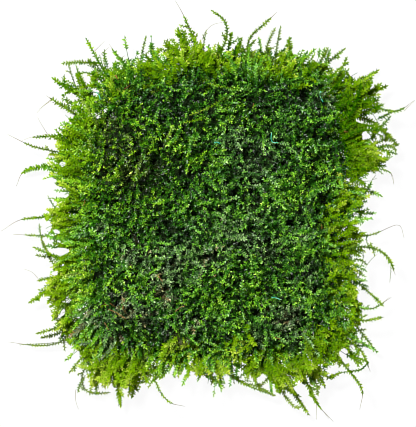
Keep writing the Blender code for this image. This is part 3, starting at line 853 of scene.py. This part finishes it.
def growRim(patches):
    for tuft in range(rim["tufts"]):
        bearing = (tuft + rng.random()) * math.tau / rim["tufts"]
        thickTo = float(reachAt(bearing))
        reach = thickTo + between(rim["tuftReach"])
        turn = rng.normal(0, rim["tuftTurn"])
        height = between(rim["height"])
        tone = tuftTone(bearing)
        crowd = (thickTo / 52) ** 1.5
        for _ in range(round(rng.integers(*rim["shoots"]) * crowd)):
            own = bearing + rng.normal(0, rim["tuftWidth"])
            tipRadius = reach + between(rim["tipSpread"])
            ownTurn = turn + rng.normal(0, rim["turn"])
            growRimShoot(patches, own, tipRadius, ownTurn, height + rng.normal(0, rim["heightStray"]), tone)
    for x, y, shoots in rimFills:
        bearing = math.atan2(y, x)
        tone = tuftTone(bearing)
        height = between(rim["height"])
        for _ in range(shoots):
            own = bearing + rng.normal(0, fill["width"])
            tipRadius = math.hypot(x, y) + rng.normal(*fill["past"])
            ownTurn = rng.normal(0, fill["turn"])
            growRimShoot(patches, own, tipRadius, ownTurn, height + rng.normal(0, rim["heightStray"]), tone,
                         fill["beyond"])


def tuftTone(bearing):
    return rim["tone"][1] + rng.normal(0, rim["tuftTone"]) - rimShade(bearing)


def growRimShoot(patches, bearing, tipRadius, turn, height, tipTone, further=0.0):
    length = between(rim["length"])
    startRadius = min(tipRadius - length * 0.85, outlineRadius(bearing) * 0.98)
    length = max(length, (tipRadius - startRadius) * 1.05)
    # It starts to one side, so that a turned shoot still ends near its bearing
    x = startRadius * math.cos(bearing) + turn * 4 * math.sin(bearing)
    y = startRadius * math.sin(bearing) - turn * 4 * math.cos(bearing)
    climb = [radiansBetween(pair) for pair in rim["climb"]]
    start = np.array((x, y, max(height, 1.5)))
    path = growPath(start, bearing + turn * 0.6, climb, length, rng.normal(0, 0.7))
    beyond = rng.normal(*rim["beyond"]) + further
    path = untilEdge(path, beyond)
    if len(path) < 5:
        return
    tip = tipTone + rim["clumpTone"] * patchNoise(x, y, 4, 2.2) + rng.normal(0, rim["toneStray"])
    tone = (rim["tone"][0] - 0.6 * rimShade(bearing), min(tip, rim["brightest"]))
    hue = min(rim["hue"] + rng.normal(0, rim["hueStray"]), rim["warmest"]) + rimWarmth(bearing)
    halfWidth = between(rim["halfWidth"])
    patch = patches[quarterOf(x, y)]
    dress(patch, path, halfWidth, tone, hue, rimLeaves, rng.normal(0, 0.4))
    if rng.random() < rim["branches"]:
        growBranches(patch, path, halfWidth, tone, hue, rim["branchEvery"], rim["branchLength"], rimLeaves,
                     beyond=beyond)


def growSides(patches):
    for _ in range(sides["count"]):
        bearing = rng.uniform(0, math.tau)
        x, y = onBearing(bearing, outlineRadius(bearing) * between(sides["start"]))
        start = np.array((x, y, between(sides["height"])))
        climb = [radiansBetween(pair) for pair in sides["climb"]]
        bearing += rng.normal(0, 1.2)
        path = growPath(start, bearing, climb, between(sides["length"]), rng.normal(0, 0.8))
        path = untilEdge(path, 0)
        if len(path) >= 4:
            hue = sides["hue"] + rng.normal(0, 0.05)
            patch = patches[quarterOf(x, y)]
            dress(patch, path, sides["halfWidth"], sides["tone"], hue, flatLeaves, rng.normal(0, 0.6))


rims = {name: newPatch() for name in quarters}
growRim(rims)
growSides(rims)
for name, patch in rims.items():
    writePiece("moss_rim_" + name, patch, leafThin)
print("rim grown")


# The long shoots, on the routes of their solids, numbered from 1 on each side: level, half-width,
# length of the bare end, route

levels = {"high": (8.6, 9.2), "middle": (6.0, 4.6), "low": (3.6, 1.2)}  # height at the root and the tip
thick, medium, slim = 1.08, 0.84, 0.68
longShoots = {
    "far": (
        ("middle", medium, 3, ((-26, 46), (-30.5, 52.5))),
        ("high", slim, 0, ((-21, 44), (-20, 50), (-19, 54.5))),
        ("middle", medium, 6, ((-2, 46), (-4.5, 54.5), (-7.5, 61.5), (-10, 66))),
        ("high", medium, 0, ((0.5, 44), (5.5, 53), (5.5, 59), (1.5, 62.5))),
        ("middle", medium, 3, ((12, 46), (13, 54), (18, 59), (21.5, 62.5))),
        ("high", slim, 0, ((20.5, 44), (21.5, 52), (22.5, 57.5))),
        ("low", thick, 0, ((25.5, 46), (25.5, 54.5))),
        ("middle", medium, 0, ((34, 44), (42.5, 51))),
    ),
    "right": (
        ("high", medium, 0, ((38.5, 38.5), (43, 48))),
        ("low", thick, 0, ((42, 40), (47, 41), (53, 44.5))),
        ("middle", thick, 0, ((43, 35.5), (49, 37), (55.5, 39.5))),
        ("high", medium, 4.5, ((42, 31), (49.5, 33), (58, 31.5), (64, 35))),
        ("low", thick, 0, ((43, 30), (51, 28.5), (59, 21.5))),
        ("middle", medium, 0, ((43.5, 21), (51, 20.5), (58.5, 18.5))),
        ("high", slim, 4, ((42, 13), (51, 14), (56.5, 12.5), (57.5, 9))),
        ("middle", slim, 11, ((44, -7), (51, -6.5), (59, -3.5), (61, -7.5))),
        ("high", medium, 2, ((42, -10.5), (50.5, -10.5), (55.5, -13.5), (58, -19))),
        ("low", medium, 0, ((43, -19), (48.5, -23), (54.5, -28.5))),
        ("middle", slim, 3, ((43.5, -28), (50.5, -29.5), (57, -26))),
        ("high", medium, 0, ((41, -31), (48, -33), (54, -32))),
        ("low", medium, 2.5, ((43, -31.5), (47.5, -36.5), (52.5, -43))),
        ("middle", medium, 2, ((42, -38), (47.5, -42.5), (50.5, -49))),
    ),
    "near": (
        ("high", medium, 5, ((37, -41), (41.5, -46), (47.5, -54), (47, -60.5))),
        ("low", medium, 0, ((33, -44), (36.5, -54))),
        ("middle", medium, 6, ((27, -46), (31, -53), (34, -59), (39, -64.5))),
        ("low", slim, 2, ((22.5, -46), (26, -54), (32, -63))),
        ("middle", slim, 0, ((6, -47), (11, -52.5), (21, -56.5))),
        ("low", medium, 0, ((-1, -46), (1.5, -51), (5, -54))),
        ("high", slim, 4, ((-18, -45), (-15.5, -53), (-12, -58), (-7, -59.5))),
        ("low", thick, 0, ((-21.5, -46), (-22, -51), (-23.5, -57))),
        ("middle", thick, 0, ((-26, -47), (-27.5, -53), (-27, -59.5))),
        ("low", slim, 0, ((-36, -44), (-39, -51), (-37, -55.5), (-30.5, -55.8))),
    ),
    "left": (
        ("high", medium, 0, ((-36, -41), (-42.5, -49))),
        ("low", slim, 7, ((-42, -35.5), (-46, -40), (-53, -41), (-62, -40))),
        ("high", medium, 0, ((-41, -31.5), (-46, -35), (-52.5, -37))),
        ("middle", thick, 0, ((-44, -19), (-48.5, -23), (-55, -27.5))),
        ("high", medium, 0, ((-42, -15.5), (-47.5, -13), (-53.5, -10.5))),
        ("low", slim, 4, ((-43, -7.5), (-51, -7), (-60.5, -6.5))),
        ("middle", medium, 8, ((-44, 0.5), (-50, -1), (-58, -2), (-64, -5.5))),
        ("low", thick, 5, ((-43, 13), (-49.5, 14.5), (-57, 13), (-59.5, 8.5))),
        ("middle", slim, 6, ((-44, 18.5), (-54, 20.8), (-62, 24.5))),
        ("high", medium, 0, ((-40, 23), (-46, 24), (-53.5, 23.5))),
        ("middle", thick, 2, ((-42, 31.5), (-50, 36.5))),
        ("low", thick, 0, ((-39, 36), (-48, 42))),
        ("middle", medium, 0, ((-32, 44), (-37.5, 54))),
    ),
}
longShoot = {
    "rootInside": 4.0,  # how far in under the rim it starts
    "arch": 1.1,
    "tone": (0.33, 0.52),
    "nearLighter": 0.04,
    "hue": 0.93,
    "hueStray": 0.04,
    "branchEvery": (1.6, 3.2),
    "branchLength": (1.3, 4.6),  # at the tip and at the root
}


def smoothRoute(knots, perStretch=14):
    knots = np.asarray(knots, float)
    ends = np.concatenate(((2 * knots[0] - knots[1],), knots, (2 * knots[-1] - knots[-2],)))
    line = [knots[:1]]
    share = np.linspace(0, 1, perStretch + 1)[1:, None]
    for before, start, end, after in zip(ends, ends[1:], ends[2:], ends[3:]):
        leaving, arriving = (end - before) / 2, (after - start) / 2
        square, cube = share**2, share**3
        line.append(
            (2 * cube - 3 * square + 1) * start + (cube - 2 * square + share) * leaving
            + (3 * square - 2 * cube) * end + (cube - square) * arriving
        )
    return np.concatenate(line)


def evenlySpaced(line, step):
    reached = distanceAlong(line)
    marks = np.linspace(0, reached[-1], max(round(reached[-1] / step), 2) + 1)
    return alongLine(marks, reached, line)


def routeInSpace(level, route):
    rootHeight, tipHeight = levels[level]
    flat = np.array(route, float)
    inward = -flat[0] / np.linalg.norm(flat[0]) * longShoot["rootInside"]
    reached = distanceAlong(flat)
    share = reached / reached[-1]
    heights = rootHeight + (tipHeight - rootHeight) * share + longShoot["arch"] * np.sin(np.pi * share)
    knots = np.column_stack((flat, heights))
    start = np.append(flat[0] + inward, rootHeight)
    return evenlySpaced(smoothRoute(np.concatenate(((start,), knots))), leafing["pathStep"])


def toneAndHue(route):
    # The near side is the most yellow and stands in the most light
    bearing = math.atan2(route[0][1], route[0][0])
    lighter = -longShoot["nearLighter"] * math.sin(bearing)
    hue = longShoot["hue"] + rimWarmth(bearing) + rng.normal(0, longShoot["hueStray"])
    return [tone + lighter for tone in longShoot["tone"]], hue


def growLongShoot(patch, level, halfWidth, bare, route):
    tone, hue = toneAndHue(route)
    points = routeInSpace(level, route)
    bareFrom = 1 - bare / distanceAlong(points)[-1]
    leaves = flatLeaves if halfWidth > 1 else cordLeaves
    dress(patch, points, halfWidth, tone, hue, leaves, rng.normal(0, 0.2), bareFrom, crossing=True)
    growBranches(patch, points, halfWidth, tone, hue, longShoot["branchEvery"],
                 longShoot["branchLength"], leaves, 0.85 * bareFrom)


for side, shoots in longShoots.items():
    for number, (level, halfWidth, bare, route) in enumerate(shoots, 1):
        name = f"shoot_{side}_{number}"
        patch = newPatch()
        growLongShoot(patch, level, halfWidth, bare, route)
        writePiece(name + "_leafy", patch, leafThin, [name])
print("long shoots grown")


# Other shoots that stand out of the rim, a few that lie on top, and the fine bare hairs that some
# of them end in. Each is its height (at the root and the tip where they differ), its half-width
# (a hair has none) and its route.
strayShoots = (
    ((9, 8), 0.9, ((-33.5, 44.5), (-35, 46.4), (-40.9, 46.7), (-44.6, 46.4))),
    (9, 0.8, ((33.5, 44.5), (35.3, 47.6), (37.2, 51))),
    ((8, 7), 0.6, ((46.2, 26.8), (52.4, 27.7))),
    (8, 0.26, ((45, 8.3), (47.1, 9.1), (49.3, 10.1), (50.2, 9.8), (52.1, 11.9))),
    (8, 0.24, ((45, -20.5), (47, -19.4), (49.9, -15), (52.4, -12.6))),
    (8, 0.45, ((48, -11.5), (48.1, -14), (47.6, -16.2))),
    (8, 0.28, ((45.5, -6), (46, -8.5), (45.4, -11.3))),
    (8, 0.45, ((49.1, -6.8), (49.2, -8.6), (49.9, -10.4))),
    (8, 0.75, ((17.5, 47), (18.3, 51), (19.5, 54.5), (20.8, 57))),
    (8, 0.85, ((8, 47), (9, 50.5), (10.5, 54))),
    (8, 0.55, ((-1, 48), (-1.2, 52), (-0.4, 56.5))),
    ((9, 8), 1, ((-5, 47), (-6.2, 51.5), (-7.8, 56.5))),
    (7, 1, ((44, 38.5), (48, 40), (50.5, 41.5))),
    (6, 1.1, ((45, 36), (50, 37.3), (53.5, 40))),
    (6, 0.75, ((-42, -20.5), (-44.8, -18.8), (-48.5, -14.4), (-51.5, -8.2))),
    (5, 0.6, ((-46.5, -14.5), (-49.6, -11.6), (-51.5, -7.6), (-52.2, -3.3))),
    ((6, 5), 0.55, ((-44, -36), (-46.2, -33.9), (-48.5, -29.9))),
    (7, 0.5, ((-45, -34), (-46.3, -32.9), (-46.3, -26.8))),
    ((4, 3), 0.35, ((-36, -38.5), (-39.7, -39.5), (-46.2, -40.1), (-58.3, -40.8))),
    (6, 0.75, ((-3, -47), (0, -50.7), (5, -52.5))),
    (6, 0.8, ((4, -46), (6.7, -49.8), (10.8, -52.5), (14.3, -53.2), (16.9, -54.4), (20.5, -56.3))),
    ((5, 6), 0.8, ((15.8, -54.4), (19.2, -50.4))),
    ((6, 5), 0.85, ((20, -49), (21.9, -53.2), (24.5, -57.2), (27, -60), (28.8, -60))),
    ((5, 4), 0.8, ((24, -50), (26, -54.7), (27.3, -56.9), (29.8, -60.3), (31.3, -62.3))),
    ((7, 6), 0.85, ((28, -46), (29.4, -50.4), (32.2, -55.3), (33.8, -58.6))),
    ((8, 7), 0.85, ((33, -44), (33.5, -48.2), (36, -53.2))),
    (7, 0.8, ((36, -46), (36, -47.9), (37.5, -51), (40.9, -49.4))),
    ((6, 7), 0.7, ((50, -46), (47.7, -48.2), (45, -48.8), (40.6, -49.4), (37.2, -51))),
    (7, 0.6, ((-45, -2), (-46.3, -0.2), (-47.6, 2.3), (-49.3, 5.3))),
    ((9, 8), 0.6, ((-38, 39), (-39.2, 41.7), (-40, 43.9), (-40.6, 45.6))),
    ((7, 6), 0.85, ((42.5, -40.5), (45, -43.8), (46.7, -47))),
    (7, 0.85, ((50.5, 21), (54, 22.5), (56, 23.2))),
    (7, 0.85, ((50, 16), (53.8, 16.9), (55.5, 17.2))),
    (6, 0.8, ((-47.5, -19.5), (-50.7, -20.3), (-52.5, -20.8))),
    (7, 0.8, ((-48, -13), (-51, -13.2), (-52.8, -13))),
    (6, 0.8, ((21, -50), (23.2, -53), (24, -55.2))),
    (8, 0.75, ((45.5, -14), (47.6, -14.6), (49, -15.6))),
    (8, 0.75, ((44.5, -17), (46.5, -17.6), (47.6, -18.4))),
    (8, 0.75, ((45.5, 0.4), (48.2, 0.9), (49.6, 1.2))),
    (5, 0.8, ((-33.8, -51), (-34.6, -54), (-34.3, -56))),
    (6, 0.85, ((43.5, -43), (46, -44.6), (48.7, -45.6))),
    ((7, 6), 0.85, ((-44.5, -36.5), (-48, -37.6), (-51.3, -38.4))),
    (6, 0.8, ((32.3, -50), (33.8, -53), (34.2, -56))),
    (8, 0.75, ((-30.8, 45), (-31.7, 48), (-31.9, 50.4))),
    (7, 0.75, ((44, -7.4), (46.7, -8.2), (48, -8.4))),
    (8, 0.85, ((47, 30), (50.5, 31.2), (52.8, 32))),
    (5, 0.8, ((-34.8, -50), (-36, -53.6), (-36.4, -55.8))),
    ((5, 4), 0.75, ((-37.8, -50.2), (-39.7, -53.2), (-40.2, -55.3))),
    (8, 0.8, ((6.3, 50), (7, 53), (7.6, 55.6))),
    (8, 0.65, ((-31, 41.5), (-34.6, 42.6), (-36.4, 43.3), (-38.3, 43.6), (-39.7, 42.9))),
    (7, 0.6, ((-40.8, 39.3), (-42.6, 39.4), (-43.9, 39.5), (-45.7, 38.8))),
    (6, 0.65, ((-38.5, 38.3), (-41.4, 38.6), (-43.2, 37.7), (-44.5, 36.4), (-44.8, 35))),
    ((8, 9), 0.55, ((-41, 40), (-41.7, 42), (-42.3, 43.9), (-42.9, 45.9))),
    (8, 0.5, ((-43.9, 40.8), (-44.9, 41.7), (-44.2, 42.8))),
    (8, 0.45, ((-32, 44), (-32.7, 46.7), (-33.3, 48.8))),
    (8, 0.45, ((-31, 44), (-32, 46.5), (-31.7, 48.4))),
    (7, 0.85, ((52.6, 29.3), (54.4, 29.9), (56, 30.8), (57, 31.6))),
    (7, 0.85, ((53.2, 26.8), (54.7, 27.7), (55.8, 29), (56.4, 29.8))),
    (8, 0.4, ((50.2, 28.8), (48.5, 28.1), (47, 26.9))),
    (8, 0.9, ((50.8, 22.4), (51.5, 25), (52.2, 27.2))),
    (6, 0.9, ((53, 20.4), (55.5, 20.9), (57.4, 20.7), (58.2, 19.3))),
    (6, 0.55, ((51, 16.4), (53.5, 16.5), (55.7, 16.4))),
    ((6, 5), 0.35, ((46.5, 6.2), (50.4, 5.7), (53.2, 6.5))),
    (9, 0.9, ((-7, 46.5), (-7.4, 50), (-8.3, 53.5), (-9, 57))),
    ((9, 8), 0.85, ((-11, 47), (-12, 50.5), (-13.3, 53.3))),
    ((16.2, 16.9), 0.62, ((7, 36.5), (2.2, 33.4), (-1.5, 31.6), (-5.3, 30.2))),
    ((16.2, 16.9), 0.5, ((10, 38), (5.5, 38.6), (0.3, 39.8))),
    ((16.2, 16.9), 0.6, ((-0.5, 29.4), (-3.5, 28.6), (-6.8, 27.9))),
    ((16, 16.8), 0.5, ((-32.5, 9.8), (-29.8, 10.8), (-27, 11.3))),
    ((8, 6), 0.28, ((50, 32.5), (51.3, 30.5), (52.7, 28.1), (54.2, 24.8), (55.2, 23.1))),
    (8, 0, ((-1.8, 53.5), (-0.6, 56.2), (1.6, 58.3), (4.6, 59.1))),
    ((6, 5), 0, ((-48.8, 24.6), (-54, 23.8), (-58, 22.4))),
    (8, 0, ((-35, 50.1), (-31.9, 53.2))),
    (9, 0, ((-32.9, 49.1), (-30.4, 51.3))),
    (9, 0, ((-27, 47.8), (-25.4, 48.8))),
    ((6, 5), 0, ((-48.4, 35.3), (-52.1, 32.4))),
    ((6, 5), 0, ((-48.4, 34.9), (-50.8, 33.3), (-52.9, 31.2))),
    (6, 0, ((-49.6, 24.6), (-51.5, 27.7), (-52.7, 29.9))),
    (7, 0, ((60.8, 31.8), (64, 34.8))),
    ((7, 6), 0, ((54.4, 13.5), (56.4, 12.9), (57.7, 9.6))),
    ((4, 3), 0, ((-40.9, -54.7), (-40.9, -58.1), (-40.1, -60.8))),
    ((6, 5), 0.3, ((56.8, -15.5), (56.8, -18), (56.5, -21.3))),
    (6, 0, ((53.9, -28.1), (56.3, -25.9))),
    (4, 0, ((-52.1, -20.9), (-54.2, -18.4), (-57, -17.2))),
    ((5, 4), 0, ((33.8, -58.6), (33.8, -63.9))),
    ((5, 4), 0, ((33.8, -58.6), (37.7, -63.6))),
)


stray = {
    "topFrom": 14,  # those higher than this lie on top
    "topTone": (0.34, 0.66),
    "flatFrom": 0.7,
    "branchEvery": (2, 4),
    "branchLength": (1.3, 3.2),
}
hair = {"radius": (0.09, 0.05), "tone": (0.55, 0.85)}


def growStrayShoots(patch):
    for heights, halfWidth, route in strayShoots:
        rise = np.linspace(*np.broadcast_to(heights, 2), len(route))
        points = evenlySpaced(smoothRoute(np.column_stack((route, rise))), leafing["pathStep"])
        if halfWidth:
            onTop = rise[0] > stray["topFrom"]
            tone, hue = toneAndHue(route)
            if onTop:
                tone = stray["topTone"]
            leaves = flatLeaves if halfWidth > stray["flatFrom"] else cordLeaves
            dress(patch, points, halfWidth, tone, hue, leaves, rng.normal(0, 0.2), crossing=True)
            if len(points) > 10 and not onTop:
                growBranches(patch, points, halfWidth, tone, hue, stray["branchEvery"], stray["branchLength"],
                             leaves)
        else:
            radii, tones = (np.linspace(*hair[what], len(points)) for what in ("radius", "tone"))
            addStem(patch, points, radii, tones, leafing["bareHue"])


# Old bits among the moss: where each starts, its bearing in degrees, length, radius and tone
oldHue = 0.08
oldBits = (
    (-28.2, 42.6, 12.5, -75, 1.6, 0.3, 0.5), (-25.6, 38.2, 14.5, 20, 2.2, 0.22, 0.36),
    (4.1, -10.4, 16.6, 10, 1.3, 0.2, 0.66), (-26, -29.4, 16.4, 70, 1.4, 0.22, 0.5),
    (-31.6, -27.6, 15.6, -40, 1.6, 0.26, 0.26), (2, -19.3, 16.8, 30, 0.9, 0.24, 0.62),
    (35, -4.8, 16.2, 80, 1.5, 0.18, 0.46), (49.1, 35.2, 10, -60, 1.6, 0.2, 0.42),
    (42, 25.2, 12.5, -20, 1.3, 0.18, 0.46), (-42.7, -32.1, 9, 15, 1.2, 0.26, 0.4),
    (-22.8, -52.2, 8, -60, 1.6, 0.18, 0.45), (-29.8, -27.4, 16, -50, 2, 0.17, 0.36),
    (-38.2, 2.4, 12.5, 60, 1.8, 0.16, 0.44), (14.2, 33.8, 15.8, -110, 2.2, 0.16, 0.38),
    (22.4, -38.6, 15, 150, 1.9, 0.17, 0.42),
)


def growOldBits(patch):
    for x, y, height, turn, length, radius, tone in oldBits:
        points = growPath(np.array((x, y, height)), math.radians(turn), (0.05, -0.05), length, 0.4)
        share = np.linspace(0, 1, len(points))
        addStem(patch, points, radius * (1 - 0.4 * share), tone + 0.03 * np.sin(7 * share), oldHue)


strays = newPatch()
growStrayShoots(strays)
growOldBits(strays)
writePiece("moss_strays", strays, leafThin)
print("stray shoots grown")


# Bits of tie thread caught in the moss, and dead shoots lying on it

plastic, _, threadShader = newMaterial("tieThread", roughness=0.35, shine=0.5)
threadShader.inputs["Base Color"].default_value = (0.004, 0.17, 0.11, 1)
ties = {
    "tie_thread_1": ((-34.2, 37.4), (-33.4, 36.4), (-33.0, 35.2)),
    "tie_thread_2": ((34.9, 37.7), (34.7, 36.2), (35.6, 34.4)),
    "tie_thread_3": ((19.6, 24.8), (19.5, 22.8), (20.1, 21.8), (21.6, 21.7)),
    "tie_thread_4": ((19.5, -25.6), (20.9, -25.8), (22.2, -26.3)),
    "tie_thread_5": ((2.0, 21.6), (2.9, 21.8), (3.9, 21.4)),
}
deadShoots = {
    "dead_shoot_1": ((-9.9, -30.0), (-8.6, -28.9), (-7.2, -28.3)),
    "dead_shoot_2": ((-30.3, -29.3), (-27.8, -30.4), (-25.2, -32.1)),
    "dead_shoot_3": ((-31.6, -33.4), (-30.9, -34.5), (-30.3, -35.6)),
    "dead_shoot_4": ((-15.2, -19.3), (-14.4, -19.9), (-13.7, -20.9)),
}
tie = {"radius": 0.13, "sunk": 0.3, "wave": 0.12}
dead = {
    "radius": (0.16, 0.10),
    "sunk": 0.4,
    "tone": 0.33,
    "leafWidth": 0.34,
    "leafTone": (0.31, 0.42),
    "leafHue": 0.10,
}


def routeLying(node, route, sunk):
    # Level along the route, a little below the middle of the solid's height
    low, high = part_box(node)
    height = (low[2] + high[2]) / 2 / mm - sunk
    knots = np.column_stack((np.array(route), np.full(len(route), height)))
    line = smoothRoute(knots, 10)
    line[:, 2] += tie["wave"] * np.sin(np.linspace(0, 9, len(line)))
    return line


def roundTube(name, line, radius, material):
    curve = bpy.data.curves.new(name, "CURVE")
    curve.dimensions = "3D"
    curve.bevel_depth = radius * mm
    curve.bevel_resolution = 2
    curve.use_fill_caps = True
    strand = curve.splines.new("POLY")
    strand.points.add(len(line) - 1)
    for point, place in zip(strand.points, line):
        point.co = (*(place * mm), 1)
    obj = addObject(name, curve)
    obj.select_set(True)
    bpy.context.view_layer.objects.active = obj
    bpy.ops.object.convert(target="MESH")
    obj = bpy.context.object
    obj.data.materials.clear()
    obj.data.materials.append(material)
    obj.data.shade_smooth()
    bpy.ops.object.select_all(action="DESELECT")
    return obj


for name, route in ties.items():
    strand = roundTube(name + "_strand", routeLying(name, route, tie["sunk"]), tie["radius"], plastic)
    handOver(strand, [name])
for name, route in deadShoots.items():
    patch = newPatch()
    line = evenlySpaced(routeLying(name, route, dead["sunk"]), 0.35)
    tones = dead["tone"] + 0.06 * np.sin(np.linspace(0, 9, len(line)))
    addStem(patch, line, np.linspace(*dead["radius"], len(line)), tones, oldHue)
    dress(patch, line, dead["leafWidth"], dead["leafTone"], dead["leafHue"], cordLeaves, 0.3, stemmed=False)
    writePiece(name + "_husk", patch, leafDense, [name])
print("threads and dead shoots made")


# The bed that the shoots stand on, and the matted old stems under it

bed = {
    "cells": 64,
    "reach": 0.88,
    "moreReach": 0.08,  # it goes further out on the right and the near side
    "sink": 4.8,
    "least": 0.3,
    "shoulder": 0.78,
    "bump": 2.2,
    "bumpSize": 3.0,
}
underside = {
    "count": 620,
    "reach": 0.84,
    "within": 42,
    "height": (0.12, 1.1),
    "length": (8, 20),
    "radius": (0.10, 0.24),
    "tone": (0.22, 0.08),
    "hue": (0.08, 0.13),
}


def makeBed():
    # A square grid bent to the mat's outline, domed, and closed flat below
    bpy.ops.mesh.primitive_grid_add(x_subdivisions=bed["cells"], y_subdivisions=bed["cells"], size=2)
    obj = bpy.context.object
    obj.name = "moss_bed"
    for vert in obj.data.vertices:
        out = max(abs(vert.co.x), abs(vert.co.y))
        bearing = math.atan2(vert.co.y, vert.co.x)
        right = float(smoothStep(-0.6, 0.0, math.cos(bearing)))
        near = float(smoothStep(0.6, 0.8, -math.sin(bearing)))
        reach = bed["reach"] + bed["moreReach"] * max(right, near)
        x, y = onBearing(bearing, out * reach * outlineRadius(bearing))
        fall = 1 - float(smoothStep(bed["shoulder"], 1, out))
        height = cushionHeight(x, y) - bed["sink"] + bed["bump"] * patchNoise(x, y, bed["bumpSize"], 4.4)
        vert.co = (x * mm, y * mm, (bed["least"] + max(height, 1) * fall) * mm)
    bpy.ops.object.mode_set(mode="EDIT")
    bpy.ops.mesh.select_all(action="SELECT")
    bpy.ops.mesh.region_to_loop()
    bpy.ops.mesh.edge_face_add()
    bpy.ops.mesh.select_all(action="SELECT")
    bpy.ops.mesh.normals_make_consistent(inside=False)
    bpy.ops.object.mode_set(mode="OBJECT")
    obj.data.materials.append(bedDark)
    handOver(obj, ["moss_mat"])
    bpy.ops.object.select_all(action="DESELECT")


def growUnderside(patch):
    for _ in range(underside["count"]):
        bearing = rng.uniform(0, math.tau)
        distance = outlineRadius(bearing) * underside["reach"] * math.sqrt(rng.random())
        start = np.array((*onBearing(bearing, distance), between(underside["height"])))
        length = between(underside["length"])
        path = growPath(start, rng.uniform(0, math.tau), (0, 0), length, rng.normal(0, 1.2))
        furthest = np.maximum(np.abs(path[:, :2]).max(1), 1)
        path[:, :2] *= np.minimum(1, underside["within"] / furthest)[:, None]
        radius = between(underside["radius"])
        points = path[::3]
        row = np.arange(len(points))
        points[:, 2] = np.maximum(start[2], radius) + 0.1 * np.sin(row)
        tones = rng.normal(*underside["tone"]) + 0.05 * np.sin(row * 1.7)
        addStem(patch, points, radius, tones, between(underside["hue"]))


makeBed()
oldStems = newPatch()
growUnderside(oldStems)
writePiece("moss_underside", oldStems, leafDense)
print("bed made")
